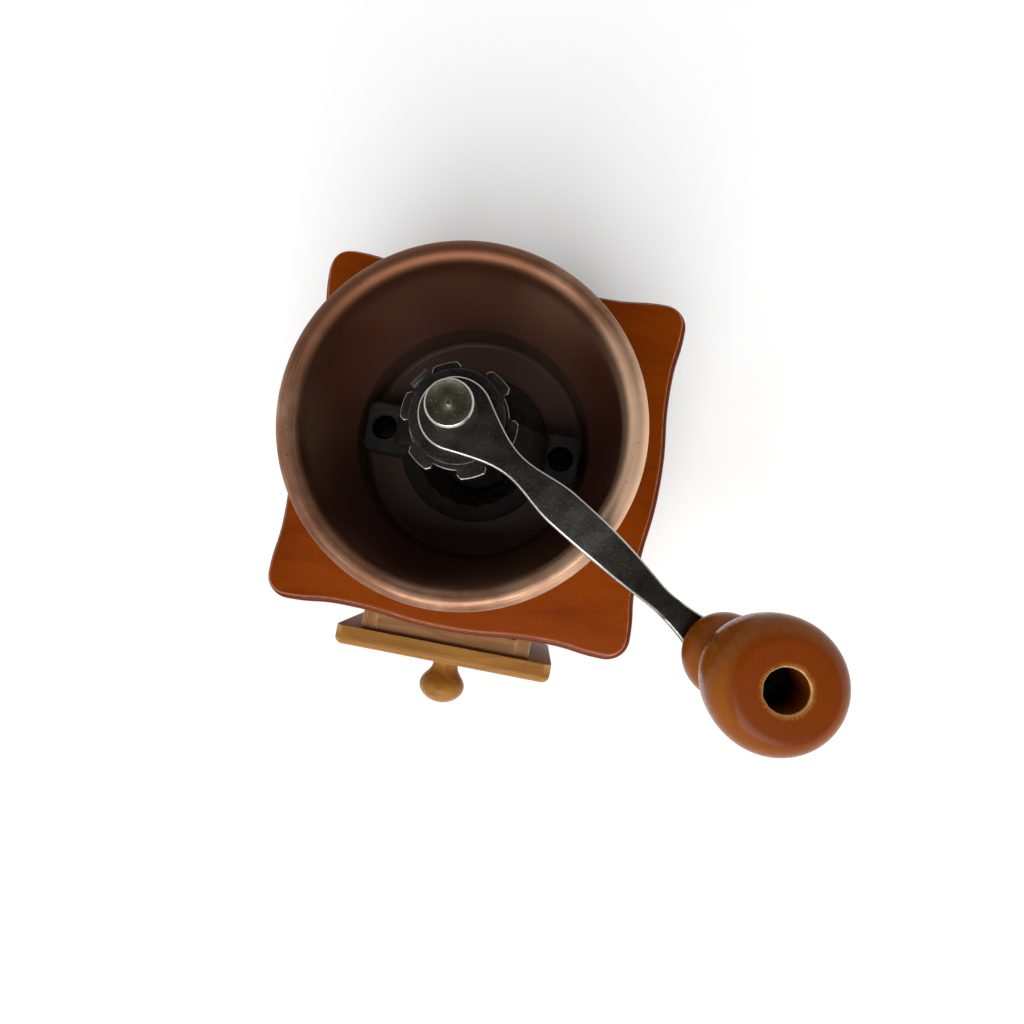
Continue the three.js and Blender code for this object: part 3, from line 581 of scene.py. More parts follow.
class Finish:
    """A material and the nodes that make it."""

    def __init__(self, name):
        self.material = bpy.data.materials.new(name)
        self.material.use_nodes = True
        self.tree = self.material.node_tree
        self.tree.nodes.clear()

    def node(self, kind, settings=None, inputs=None, output=0):
        """Adds a node: settings first, then what goes into its sockets."""
        node = self.tree.nodes.new(f"ShaderNode{kind}")
        for name, value in (settings or {}).items():
            setattr(node, name, value)
        for name, value in (inputs or {}).items():
            if isinstance(value, Value):
                self.tree.links.new(value.socket, node.inputs[name])
            else:
                node.inputs[name].default_value = value
        return Value(self, node.outputs[output]) if node.outputs else node

    def sum(self, operation, *values):
        return self.node("Math", {"operation": operation}, dict(enumerate(values)))

    def place(self):
        """The point's place on its piece at rest, in millimetres."""
        metres = self.node("TexCoord", output="Object")
        return self.node(
            "VectorMath", {"operation": "SCALE"}, {0: metres, "Scale": 1 / MM}
        )

    def parts(self, vector):
        first = self.node("SeparateXYZ", inputs={0: vector})
        return first, first.sibling(1), first.sibling(2)

    def at(self, x, y, z):
        return self.node("CombineXYZ", inputs={0: x, 1: y, 2: z})

    def grain(self, place, scale=1.0, detail=2.0, rough=0.5):
        return self.node(
            "TexNoise",
            inputs={"Vector": place, "Scale": scale, "Detail": detail, "Roughness": rough},
        )

    def stored(self, name):
        """A number that the piece's points carry."""
        return self.node("Attribute", {"attribute_name": name}, output="Fac")

    def mix(self, share, first, second):
        """A colour that goes from the first to the second."""
        first, second = [
            (*value, 1.0) if isinstance(value, (tuple, list)) else value
            for value in (first, second)
        ]
        return self.node("Mix", {"data_type": "RGBA"}, {0: share, 6: first, 7: second}, output=2)

    def bumped(self, height, strength, depth):
        """A normal from a height; depth is in millimetres."""
        return self.node(
            "Bump", inputs={"Strength": strength, "Distance": depth * MM, "Height": height}
        )

    def shade(self, **sockets):
        """The surface, with a Principled shader."""
        inputs = {name.replace("_", " "): value for name, value in sockets.items()}
        surface = self.node("BsdfPrincipled", inputs=inputs)
        self.node("OutputMaterial", inputs={"Surface": surface})
        return self.material


def rgb(colour):
    return tuple(colour)


def darker(colour, share):
    return tuple(value * share for value in colour)


def wood(
    name, tones, along, pith, spacing, polish, coat, figure=1.0, end=None, raw=None, top=None
):
    """Varnished wood. tones are its ground, grain and edge colour; the grain runs along an axis.
    The edge colour lightens convex edges for rubbing and painted highlight.

    end is the colour of end grain, and raw that of bare wood where the mark says so; on the grip's
    top face the end grain is also painted shade. Below a board's top the hollow of its moulding
    and the edge under it are darkened as painted shade.
    """
    ground, deep, edge = tones
    finish = Finish(name)
    place = finish.place()
    parts = dict(zip("XYZ", finish.parts(place)))
    length = parts[along]
    across, depth = [
        parts[axis] - centre for axis, centre in zip([a for a in "XYZ" if a != along], pith)
    ]
    sweep = finish.grain(finish.at(length * 0.012, across * 0.03, depth * 0.03), 1.0, 2.0)
    radius = (across * across + depth * depth) ** 0.5 + (sweep - 0.5) * (spacing * 7)
    ring = (radius / spacing).fraction()
    late = ring.between(0.25, 0.92) * (1 - ring.between(0.93, 1.0))
    fibre = finish.grain(finish.at(length * 0.03, across * 1.3, depth * 1.3), 1.0, 4.0, 0.6)
    pores = finish.grain(finish.at(length * 0.16, across * 3.2, depth * 3.2), 1.0, 1.0)
    pores = pores.between(0.6, 0.74)
    cloud = finish.grain(finish.at(length * 0.02, across * 0.05, depth * 0.05), 1.0, 2.0)
    share = late * (0.34 * figure) + (fibre - 0.5) * (1.1 * figure) + (cloud - 0.5) * 1.3 + 0.26
    colour = finish.mix(share.between(0.0, 1.0), ground, deep)
    colour = finish.mix(pores * (0.45 * figure), colour, darker(deep, 0.55))
    if end:
        # End grain gets its own colour; on the grip's top face it is also painted shade.
        normal = finish.node("TexCoord", output="Normal")
        facing = dict(zip("XYZ", finish.parts(normal)))[along].size().between(0.72, 0.97)
        colour = finish.mix(facing * 0.85, colour, end)
    if top:
        # Painted shade: the hollow of the moulding and the edge under it are darkened.
        darkening = 1 - parts["Z"].between(top - 5.6, top - 2.6)
        colour = finish.mix(darkening * 0.75, colour, darker(deep, 0.4))
    scuffs = finish.grain(place, 0.35, 5.0, 0.65)
    # Lighter convex edges: rubbing and painted highlight; on boards only on the upper rounding,
    # where light catches.
    wear_and_highlight = finish.stored("wear_and_highlight")
    if top:
        wear_and_highlight = wear_and_highlight * parts["Z"].between(top - 2.6, top - 1.2)
    rub_and_highlight = (wear_and_highlight * (0.35 + scuffs)).between(0.3, 0.9)
    colour = finish.mix(rub_and_highlight * 0.75, colour, edge)
    if raw:
        bare = finish.stored("mark").between(0.35, 0.75)
        colour = finish.mix(bare, colour, raw)
        # Painted shade: the walls of the grip's sink are darkened.
        bore_shade = 1 - finish.stored("mark").between(-0.8, -0.1)
        colour = finish.mix(bore_shade * 0.6, colour, darker(deep, 0.6))
        rub_and_highlight = rub_and_highlight + bare
    return finish.shade(
        Base_Color=colour,
        Roughness=polish + (fibre - 0.5) * 0.12 + rub_and_highlight * 0.14 + pores * 0.15,
        Normal=finish.bumped(fibre * 0.5 - pores, 0.28, 0.12),
        Specular_IOR_Level=0.1,
        Coat_Weight=coat,
        Coat_Roughness=0.16,
    )


def spun_copper(metal):
    """Satin copper: bright from rubbing on the rim, darker on the rim's top and left side as
    painted shade, brown and dull inside the bowl with painted sheen high on the wall.
    """
    finish = Finish("spun copper")
    place = finish.place()
    x, y, z = finish.parts(place)
    radius = (x * x + y * y) ** 0.5
    inside = finish.stored("mark")
    turning = finish.grain(
        finish.at(x / radius * 2.4, y / radius * 2.4, (radius + z) * 3.1), 1.0, 4.0, 0.7
    )
    fine = finish.grain(
        finish.at(x / radius * 9.0, y / radius * 9.0, (radius + z) * 9.0), 1.0, 2.0
    )
    cloud = finish.grain(place, 0.045, 3.0, 0.6)
    spots = finish.grain(place, 0.8, 3.0, 0.6).between(0.65, 0.74)
    rim = z.between(RIM_TOP - 13.0, RIM_TOP - 4.5)
    # Painted shade: the rim is made darker at its top, less so at its bottom and left, and lighter
    # at its right.
    painted_shade_side = (y.size() * 0.8 + y * 0.2 - x * 0.6) / radius
    mottling = (turning - 0.5) * 1.1 + (cloud - 0.5) * 1.4
    # darkening blends random patina mottling with that painted shade, towards the patina colour;
    # it also roughens.
    darkening = mottling * (0.35 + rim * 0.2) + 0.43 + painted_shade_side * 0.5
    darkening = darkening.between(0.1, 0.95)
    outer = finish.mix(darkening, rgb(metal.copper), rgb(metal.copper_patina_and_shade))
    depth = 1 - z.between(DECK, RIM_TOP - 8.0)
    dark = finish.mix(depth, rgb(metal.copper_dark), rgb(metal.pan))
    # Painted sheen: lighter copper streaks high on the inner wall, fading towards the bottom.
    sheen_streaks = finish.grain(finish.at(x / radius * 1.2, y / radius * 1.2, z * 0.01), 1.0, 1.0)
    painted_sheen = finish.mix(0.4, rgb(metal.copper_dark), rgb(metal.copper))
    dark = finish.mix(sheen_streaks.between(0.3, 0.75) * (1 - depth) ** 2, dark, painted_sheen)
    colour = finish.mix(inside * (1 - rim), outer, dark)
    colour = finish.mix(spots * 0.55, colour, darker(metal.copper_patina_and_shade, 0.3))
    return finish.shade(
        Base_Color=colour,
        Metallic=1 - inside * (1 - rim) * (0.15 + depth * 0.5),
        Roughness=metal.copper_polish + darkening * 0.06 - inside * (1 - rim) * 0.1 + spots * 0.25,
        Normal=finish.bumped(turning * 0.7 + fine * 0.5 - spots, 0.2, 0.08),
    )


def cast_iron(metal):
    """Dark, slightly rough castings, with random patches of brown coffee film."""
    finish = Finish("cast iron")
    place = finish.place()
    lumps = finish.grain(place, 0.5, 4.0, 0.6)
    sand = finish.grain(place, 2.6, 3.0, 0.6)
    film = finish.grain(place, 0.13, 3.0, 0.55).between(0.45, 0.7)
    colour = finish.mix(sand.between(0.3, 0.75), rgb(metal.iron), darker(metal.iron, 0.5))
    colour = finish.mix(film * 0.5, colour, screen(34, 25, 20))
    # Slightly lighter convex edges: rubbing and painted highlight.
    wear_and_highlight = (finish.stored("wear_and_highlight") * (0.4 + lumps)).between(0.35, 0.9)
    colour = finish.mix(wear_and_highlight * 0.1, colour, rgb(metal.forged_wear_and_highlight))
    return finish.shade(
        Base_Color=colour,
        Metallic=0.3 - film * 0.2,
        Roughness=0.74 + sand * 0.16 - wear_and_highlight * 0.15,
        Normal=finish.bumped(lumps * 1.2 + sand * 0.5, 0.4, 0.25),
    )


def forged_iron(name, ground, worn_and_highlit, polish, pitting=1.0):
    """Dark smooth iron, mottled by scale, with edges made bright for rubbing and as painted
    highlight.
    """
    finish = Finish(name)
    place = finish.place()
    scale = finish.grain(place, 0.16, 4.0, 0.6)
    grit = finish.grain(place, 1.7, 4.0, 0.65)
    pits = finish.grain(place, 0.9, 2.0, 0.5).between(0.64, 0.74)
    colour = finish.mix(scale.between(0.3, 0.72), ground, darker(ground, 0.45))
    colour = finish.mix(grit.between(0.5, 0.85) * 0.14, colour, worn_and_highlit)
    colour = finish.mix(pits * 0.5 * pitting, colour, darker(ground, 0.25))
    # Bright convex edges: rubbing and painted edge highlight.
    wear_and_highlight = (finish.stored("wear_and_highlight") * (0.3 + grit * 0.6 + scale * 0.7)).between(0.4, 0.9)
    colour = finish.mix(wear_and_highlight * 0.8, colour, worn_and_highlit)
    return finish.shade(
        Base_Color=colour,
        Metallic=1.0,
        Roughness=polish + (grit - 0.5) * 0.2 + pits * 0.2 - wear_and_highlight * 0.12,
        Normal=finish.bumped(scale * 0.8 + grit * 0.35 - pits * 0.6, 0.3, 0.16),
    )


def board_tones(look):
    return rgb(look.board), rgb(look.board_deep), rgb(look.board_edge)


def drawer_tones(look):
    return rgb(look.drawer), rgb(look.drawer_deep), rgb(look.drawer_edge)


def grip_tones(look):
    return rgb(look.grip), rgb(look.grip_deep), rgb(look.drawer)


def case_wood(look, name, along, pith, top=None):
    spacing = look.ring_spacing / MM
    tones = board_tones(look)
    return wood(name, tones, along, pith, spacing, look.polish, look.coat, 0.3, top=top)


def bare_wood(look, name, along, pith=(9.0, -30.0)):
    tones = rgb(look.inside), rgb(look.inside_deep), rgb(look.drawer_edge)
    return wood(name, tones, along, pith, look.ring_spacing / MM, 0.6, 0.0, 1.0)


def drawer_wood(look, name, along, pith):
    tones = drawer_tones(look)
    spacing = look.ring_spacing / MM
    end = rgb(look.drawer_deep)
    return wood(name, tones, along, pith, spacing, look.polish + 0.12, look.coat, 0.8, end)


def dark_forged_iron(metal):
    worn_and_highlit = rgb(metal.forged_wear_and_highlight)
    return forged_iron("forged iron", rgb(metal.forged), worn_and_highlit, metal.iron_polish)


def steel(metal):
    return forged_iron("dull steel", rgb(metal.steel), rgb(metal.forged_wear_and_highlight), 0.34, 0.5)


def blackened_steel(metal):
    return forged_iron("blackened steel", darker(metal.iron, 0.8), rgb(metal.forged), 0.5)


def shared(name, maker, *facts):
    """A finish that several makers use, made once."""
    return bpy.data.materials.get(name) or maker(*facts)


def board_outline(draw):
    """Cupid's-bow outline of a board, drawn in all round. It is a little less deep than wide."""
    lobe, waist, belly = BOARD_LOBE - draw, BOARD_WAIST - draw, BOARD_BELLY - draw
    at, lobe_at = WAIST_AT, BOARD_LOBE - LOBE_ROUND
    near, far = at / 2, (lobe_at - at) / 2
    side = curve([(belly, 0), (belly, near), (waist, at - near), (waist, at)], 14)
    side += curve([(waist, at), (waist, at + far), (lobe, lobe_at - far), (lobe, lobe_at)], 12)
    side += arc((lobe_at, lobe_at), LOBE_ROUND - draw, 0, 90, 12)[:-1]
    side += curve([(lobe_at, lobe), (lobe_at - far, lobe), (at + far, waist), (at, waist)], 12)
    side += curve([(at, waist), (at - near, waist), (near, belly), (0, belly)], 14)
    outline = []
    for turn in range(4):
        quarter_turn = Matrix.Rotation(turn * math.pi / 2, 2)
        outline += [quarter_turn @ point for point in side]
    return [Vector((point.x, BOARD_DEPTH_SHARE * point.y)) for point in outline]


def moulded_board(under, hole=None):
    """A board whose upper edge steps in. The hole goes through it."""
    lower, upper = quarter(1.8, 5), quarter(0.9, 4)
    step, top = MOULDING_HEIGHT, BOARD_THICK
    sections = [(2.6, 0.0)] + lower
    sections += [(draw, step - rise) for draw, rise in reversed(lower)]
    sections += [(MOULDING_INSET - 0.2, step - 0.12), (MOULDING_INSET, step)]
    sections += [(MOULDING_INSET + draw, top - rise) for draw, rise in reversed(upper)]
    sections += [(MOULDING_INSET + 1.7, top)]
    loops = [level(board_outline(draw), under + rise) for draw, rise in sections]
    if hole is None:
        return stack(loops)
    turns = [math.atan2(y, x) for x, y, _ in loops[0]]
    rings = [
        (hole + 2, top), (hole + GAP, top), (hole, top - GAP), (hole, GAP), (hole + 2, 0.0)
    ]
    for radius, rise in rings:
        loops.append(
            [(radius * math.cos(t), radius * math.sin(t), under + rise) for t in turns]
        )
    return stack(loops, closed=True)


def wall_places(spacing):
    """Middles of the side walls, before and behind the middle of the case."""
    middle = (CASE + INNER) / 2
    return [(side * middle, end * spacing / 2) for side in (-1, 1) for end in (-1, 1)]


def screw_holes():
    """Countersunk holes from below, for the four base screws."""
    holes = Form()
    profile = [(0, -1), (4.3, -1), (4.3, 0.3), (2.1, 2.5), (2.1, 30.6), (0, 30.6)]
    for x, y in wall_places(SCREW_SPACING):
        holes.add(turned(profile, 32).moved(x, y))
    return holes


def dowel_holes():
    holes = Form()
    for x, y in wall_places(DOWEL_SPACING):
        holes.add(rod(2.8, WALL_TOP - 13.3, WALL_TOP + 7.3, 32).moved(x, y))
    return holes


class MILL_OT_boards(bpy.types.Operator):
    """Makes the moulded boards above and below the case"""

    bl_idname = "mill.boards"
    bl_label = "Boards"

    def execute(self, context):
        look = context.scene.mill_wood
        base = make("moulded_base", moulded_board(0.0))
        mark_outer_edges(base)
        carve(base, screw_holes())
        seat(base, "housing", "varnished_wood",
             case_wood(look, "base board wood", "X", (12.0, -70.0), BASE_TOP), "base_board")
        top = make("moulded_top", moulded_board(WALL_TOP, BURR_HOLE))
        mark_outer_edges(top)
        bolts = Form()
        for x in (-BOLT_X, BOLT_X):
            bolts.add(rod(BOLT_HOLE, WALL_TOP - 1, DECK + 1, 32).moved(x))
        carve(top, bolts)
        carve(top, dowel_holes())
        seat(top, "housing", "varnished_wood",
             case_wood(look, "top board wood", "X", (-30.0, 10.0), DECK), "top_board")
        return {"FINISHED"}


def full_wall(side):
    """Plan of the back wall, or of the front one for side -1, with soft outer corners."""

    def outline(draw):
        middle, radius = CASE - 2.5, 2.5 - draw
        points = [Vector((draw - CASE, INNER + draw)), Vector((CASE - draw, INNER + draw))]
        points += arc((middle, middle), radius, 0, 90, 6)
        points += arc((-middle, middle), radius, 90, 180, 6)
        return [point * side for point in points]

    return outline


class MILL_OT_case(bpy.types.Operator):
    """Makes the four walls of the case"""

    bl_idname = "mill.case"
    bl_label = "Case walls"

    def execute(self, context):
        look = context.scene.mill_wood
        soft = context.scene.mill_shape.eased / MM
        for word, side in (("left", -1), ("right", 1)):
            low, high = sorted((side * INNER, side * CASE))
            board = slab((low, -INNER, BASE_TOP), (high, INNER, WALL_TOP), 0.5, soft)
            wall = make(f"side_wall_{word}", board)
            mark_outer_edges(wall)
            carve(wall, screw_holes())
            carve(wall, dowel_holes())
            wood_here = case_wood(look, f"{word} wall wood", "Y", (side * 20.0, 150.0))
            seat(wall, "housing", "varnished_wood", wood_here, f"case_{word}")
        for word, side in (("back", 1), ("front", -1)):
            wall = make(f"{word}_wall", plate(full_wall(side), BASE_TOP, WALL_TOP, soft, 3))
            mark_outer_edges(wall, 0.1, 0.7)
            if word == "front":
                past = CASE + 1
                carve(wall, box((-OPENING, -past, 0), (OPENING, 1 - INNER, OPENING_TOP)))
                edges = wall.modifiers.new("eased opening", "BEVEL")
                edges.width = soft * MM
                edges.segments = 3
                edges.angle_limit = math.radians(70)
                settle(wall)
            wood_here = case_wood(look, f"{word} wall wood", "X", (side * 30.0, 160.0))
            seat(wall, "housing", "varnished_wood", wood_here, f"case_{word}")
        return {"FINISHED"}


class MILL_OT_case_fittings(bpy.types.Operator):
    """Makes the base screws and the drawer's runners"""

    bl_idname = "mill.case_fittings"
    bl_label = "Case fittings"

    def execute(self, context):
        look = context.scene.mill_wood
        metal = shared("dull steel", steel, context.scene.mill_metal)
        soft = context.scene.mill_shape.eased / MM
        profile = soften([(0, 0.3), (4.0, 0.3), (1.8, 2.5), (1.8, 28.0), (0, 30.3)], 0.3, 3)
        for i, (x, y) in enumerate(wall_places(SCREW_SPACING)):
            screw = make(f"wood_screw_{i + 1}", turned(profile, 40).moved(x, y))
            mark_outer_edges(screw)
            slot = box((-5, -0.5, -1), (5, 0.5, 1.5))
            slot.placed(Matrix.Rotation(0.7 * i + 0.3, 4, "Z")).moved(x, y)
            carve(screw, slot)
            seat(screw, "housing", "screw_steel", metal, f"base_screw_{i + 1}")
        runner_wood = bare_wood(look, "runner wood", "Y")
        for word, side in (("left", -1), ("right", 1)):
            low, high = sorted((side * OPENING, side * INNER))
            board = slab((low, -INNER, BASE_TOP), (high, INNER, RUNNER_TOP), 0.5, soft)
            strip = make(f"drawer_strip_{word}", board)
            mark_outer_edges(strip)
            seat(strip, "housing", "pale_wood", runner_wood, f"runner_{word}")
        return {"FINISHED"}


class MILL_OT_drawer(bpy.types.Operator):
    """Makes the drawer's double front, its sides, back and floor"""

    bl_idname = "mill.drawer"
    bl_label = "Drawer"

    def execute(self, context):
        look = context.scene.mill_wood
        soft = context.scene.mill_shape.eased / MM
        outline = rectangle(PANEL, (FRONT_TOP - FRONT_UNDER) / 2, 3.6, 8)
        front_edge = [(draw, PANEL_THICK - rise) for draw, rise in reversed(quarter(3.0, 8))]
        sections = [(0.9, 0.0)] + quarter(0.4, 3) + front_edge + [(3.6, PANEL_THICK)]
        loops = [level(outline(draw), rise) for draw, rise in sections]
        front = make("drawer_panel", stack(loops).placed(FORWARDS))
        mark_outer_edges(front)
        carve(front, rod(KNOB_SCREW_HOLE, -1, PANEL_THICK + 1, 32).placed(FORWARDS))
        seat(front, "drawer", "drawer_wood",
             drawer_wood(look, "drawer front wood", "X", (-60.0, 25.0)), "drawer_front")
        fore, rear = INNER_FRONT, DRAWER_DEPTH - DRAWER_WALL
        within, past, under = DRAWER_INSIDE, DRAWER, DRAWER_UNDER
        boards = [
            ("inner_front", "X", (-within, 0, under), (within, fore, DRAWER_TOP)),
            ("side_left", "Y", (-past, 0, under), (-within, DRAWER_DEPTH, DRAWER_TOP)),
            ("side_right", "Y", (within, 0, under), (past, DRAWER_DEPTH, DRAWER_TOP)),
            ("back", "X", (-within, rear, under), (within, DRAWER_DEPTH, DRAWER_BACK_TOP)),
            ("bottom", "Y", (-within, fore, under), (within, rear, DRAWER_FLOOR)),
        ]
        for i, (word, along, low, high) in enumerate(boards):
            board = make(f"drawer_board_{word}", slab(low, high, 0.5, soft).placed(DRAWER_PLACE))
            mark_outer_edges(board)
            if word == "inner_front":
                hole = rod(KNOB_SCREW_HOLE, -INNER_FRONT - 1, 1, 32)
                carve(board, hole.placed(FORWARDS))
            wood_here = bare_wood(look, f"drawer {word} wood", along, (40.0 * i - 50, 110.0))
            seat(board, "drawer", "drawer_wood", wood_here, f"drawer_{word}")
        return {"FINISHED"}


class MILL_OT_drawer_knob(bpy.types.Operator):
    """Turns the drawer's mushroom knob and its screw"""

    bl_idname = "mill.drawer_knob"
    bl_label = "Drawer knob"

    def execute(self, context):
        look = context.scene.mill_wood
        foot, neck, head = 7.4, 5.6, 10.0
        neck_at, head_at, tip = 13.0, 22.5, 30.0
        line = [Vector((0, PANEL_THICK)), Vector((7.0, PANEL_THICK)), Vector((7.35, 8.25))]
        line += curve([(foot, 8.6), (5.8, 8.9), (neck, neck_at)], 10)
        line += curve([(neck, neck_at), (neck, 17.0), (head, 18.5), (head, head_at)], 16)
        line += curve([(head, head_at), (head, 26.5), (5, tip), (0, tip)], 20)
        line.append(Vector((0, tip)))
        knob = make("mushroom_knob", turned(line, 96).placed(FORWARDS))
        mark_outer_edges(knob)
        carve(knob, rod(KNOB_SCREW_HOLE, PANEL_THICK - 1, 20.3, 32).placed(FORWARDS))
        knob_wood = wood("knob wood", drawer_tones(look), "Y", (3.0, KNOB_HEIGHT - 9.0),
                         look.ring_spacing / MM * 0.8, look.polish, look.coat, 0.7,
                         rgb(look.drawer_deep))
        seat(knob, "drawer", "turned_wood", knob_wood, "drawer_knob")
        shank, head, seat_at = KNOB_SCREW, 4.0, -INNER_FRONT
        profile = [(0, -9.4), (2.4, -9.4), (head, -8.3), (head, seat_at), (shank, seat_at),
                   (shank, 18), (0, 20)]
        screw = make("knob_screw", turned(soften(profile, 0.3, 3), 40).placed(FORWARDS))
        mark_outer_edges(screw)
        carve(screw, box((-5, -0.5, -11), (5, 0.5, -8.3)).placed(FORWARDS))
        metal = shared("dull steel", steel, context.scene.mill_metal)
        seat(screw, "drawer", "screw_steel", metal, "drawer_knob_screw")
        return {"FINISHED"}


class MILL_OT_hopper(bpy.types.Operator):
    """Spins the copper hopper with its pan and rolled rim"""

    bl_idname = "mill.hopper"
    bl_label = "Hopper"

    def execute(self, context):
        wall_x = RIM - 2 * ROLL
        roll_x, roll_z = RIM - ROLL, RIM_TOP - ROLL
        flare = [(PAN, DECK + 13.4), (PAN + 3.5, DECK + 19.0), (wall_x, roll_z - 23.9),
                 (wall_x, roll_z - 5.9)]
        inner = curve(flare, 30) + [Vector(flare[-1])]
        outer = []
        for i, here in enumerate(inner):
            along = inner[min(i + 1, 30)] - inner[max(i - 1, 0)]
            along.normalize()
            outer.append(here + Vector((along.y, -along.x)) * SHEET)
        start = -math.degrees(math.acos((SHEET - ROLL) / ROLL))
        roll = arc((roll_x, roll_z), ROLL, start, 180, 44)
        under = [(BURR_HOLE, DECK), (PAN_FLOOR, DECK), (PAN_FLOOR + SHEET, DECK + SHEET)]
        over = [(PAN_FLOOR, DECK + 2 * SHEET), (PAN_FLOOR - SHEET, DECK + SHEET),
                (BURR_HOLE, DECK + SHEET)]
        outside = soften(under, 1.0, 4) + outer + roll[:26]
        inside = roll[26:] + inner[::-1] + soften([Vector(inner[0])] + over, 0.9, 4)[1:]
        marks = [0.0] * len(outside) + [1.0] * len(inside)
        bowl = make("spun_hopper", turned(outside + inside, 192, marks, closed=True))
        mark_outer_edges(bowl, 0.2, 0.6)
        bolts = Form()
        for x in (-BOLT_X, BOLT_X):
            bolts.add(rod(BOLT_HOLE, DECK - 1, DECK + SHEET + 1, 32).moved(x))
        carve(bowl, bolts)
        seat(bowl, "housing", "aged_copper", spun_copper(context.scene.mill_metal), "hopper")
        return {"FINISHED"}


def bridge_leg(side):
    """One leg of the arch, from its foot up into the hub, 12 mm wide."""
    strap = ARCH_OUTER - FOOT_INNER
    top_x, top_z, shoulder_x, shoulder_z = 11.0, 134.0, 24.8, 111.0
    rise = (top_z - shoulder_z) / (shoulder_x - top_x)
    slope = math.hypot(1, rise)
    end_x = 7.0
    end_z = top_z + (top_x - end_x) * rise
    outline = [
        (FOOT_INNER, FLANGE_TOP + 2),
        (ARCH_OUTER, FLANGE_TOP + 2),
        (ARCH_OUTER, FOOT_TOP),
        (shoulder_x, shoulder_z),
        (end_x, end_z),
        (end_x, end_z - strap * slope),
        (shoulder_x - strap * rise / slope, shoulder_z - strap / slope),
        (FOOT_INNER, FOOT_TOP),
    ]
    outline = soften(outline, 7.0, 5, True)
    return stack([[(side * p.x, y, p.y) for p in outline] for y in (-6.0, 6.0)])


class MILL_OT_bridge(bpy.types.Operator):
    """Casts the bridge that carries the upper bearing"""

    bl_idname = "mill.bridge"
    bl_label = "Bridge"

    def execute(self, context):
        cast = rod(10.0, HUB_UNDER, RIM_TOP, 96)
        half = (FOOT_OUTER - FOOT_INNER) / 2
        for side in (-1, 1):
            foot = plate(rectangle(half, 9.0, 3.0), FLANGE_TOP, FOOT_TOP, 0.8)
            cast.add(foot.moved(side * (FOOT_INNER + half)))
            cast.add(bridge_leg(side))
        bridge = make("bridge_casting", cast)
        mould = bridge.modifiers.new("mould", "REMESH")
        mould.mode = "VOXEL"
        mould.voxel_size = context.scene.mill_shape.casting
        blend = bridge.modifiers.new("fillets", "SMOOTH")
        blend.factor = 0.6
        blend.iterations = 5
        settle(bridge)
        bores = rod(SPINDLE_HOLE, HUB_UNDER - 1, RIM_TOP + 1, 64)
        sink, low, high = BOLT_HEAD + GAP, 80, 106
        line = [(0, low), (BOLT_HOLE, low), (BOLT_HOLE, BOLT_SEAT), (sink, BOLT_SEAT),
                (sink, high), (0, high)]
        for x in (-BOLT_X, BOLT_X):
            bores.add(turned(line, 48).moved(x))
        carve(bridge, bores)
        iron = shared("cast iron", cast_iron, context.scene.mill_metal)
        seat(bridge, "housing", "black_iron", iron, "bridge", crease=50)
        return {"FINISHED"}


class MILL_OT_bridge_screws(bpy.types.Operator):
    """Makes the slotted screws of the bridge"""

    bl_idname = "mill.bridge_screws"
    bl_label = "Bridge screws"

    def execute(self, context):
        look = context.scene.mill_metal
        metal = shared("blackened steel", blackened_steel, look)
        head_top = BOLT_SEAT + 3.2
        profile = [(0, 67.8), (2.2, 67.8), (BOLT, 68.1), (BOLT, BOLT_SEAT),
                   (BOLT_HEAD, BOLT_SEAT), (BOLT_HEAD, head_top - 0.9)]
        crown = curve([(BOLT_HEAD, head_top - 0.9), (3.9, head_top - 0.1), (0, head_top)], 10)
        line = soften([*profile, crown[1]], 0.25, 3)[:-1] + crown[1:] + [Vector((0, head_top))]
        for word, x, twist in (("left", -BOLT_X, 0.5), ("right", BOLT_X, 1.2)):
            screw = make(f"slotted_screw_{word}", turned(line, 56).moved(x))
            mark_outer_edges(screw)
            slot = box((-6, -SLOT_HALF, head_top - 1.5), (6, SLOT_HALF, head_top + 1))
            carve(screw, slot.placed(Matrix.Rotation(twist, 4, "Z")).moved(x))
            seat(screw, "housing", "screw_steel", metal, f"bridge_screw_{word}")
        return {"FINISHED"}


def flute(angle, count, lean):
    """Height of a flute's tooth at an angle: a slow rise and a quick fall, from 0 to 1."""
    share = ((angle - lean) * count / (2 * math.pi)) % 1.0
    return share / 0.7 if share < 0.7 else (1 - share) / 0.3


def flange_reach(angle):
    """Distance from the axis to the outer burr's round flange and its two ears."""
    ray = Vector((abs(math.cos(angle)), abs(math.sin(angle))))
    reach = min(38.0 / max(ray.x, 1e-6), 8.0 / max(ray.y, 1e-6))
    if reach * ray.x > 35.0 and reach * ray.y > 5.0:
        corner = Vector((35.0, 5.0))
        along = corner.dot(ray)
        reach = along + math.sqrt(max(0.0, 9.0 - corner.length_squared + along**2))
    return max(28.0, reach)


def pin_hole(reach):
    """A hole across the spindle for the burr's pin, as long as asked to each side."""
    across = rod(PIN_HOLE, -reach, reach, 24).placed(Matrix.Rotation(math.pi / 2, 4, "Y"))
    return across.moved(z=PIN_HEIGHT).placed(TURNED)


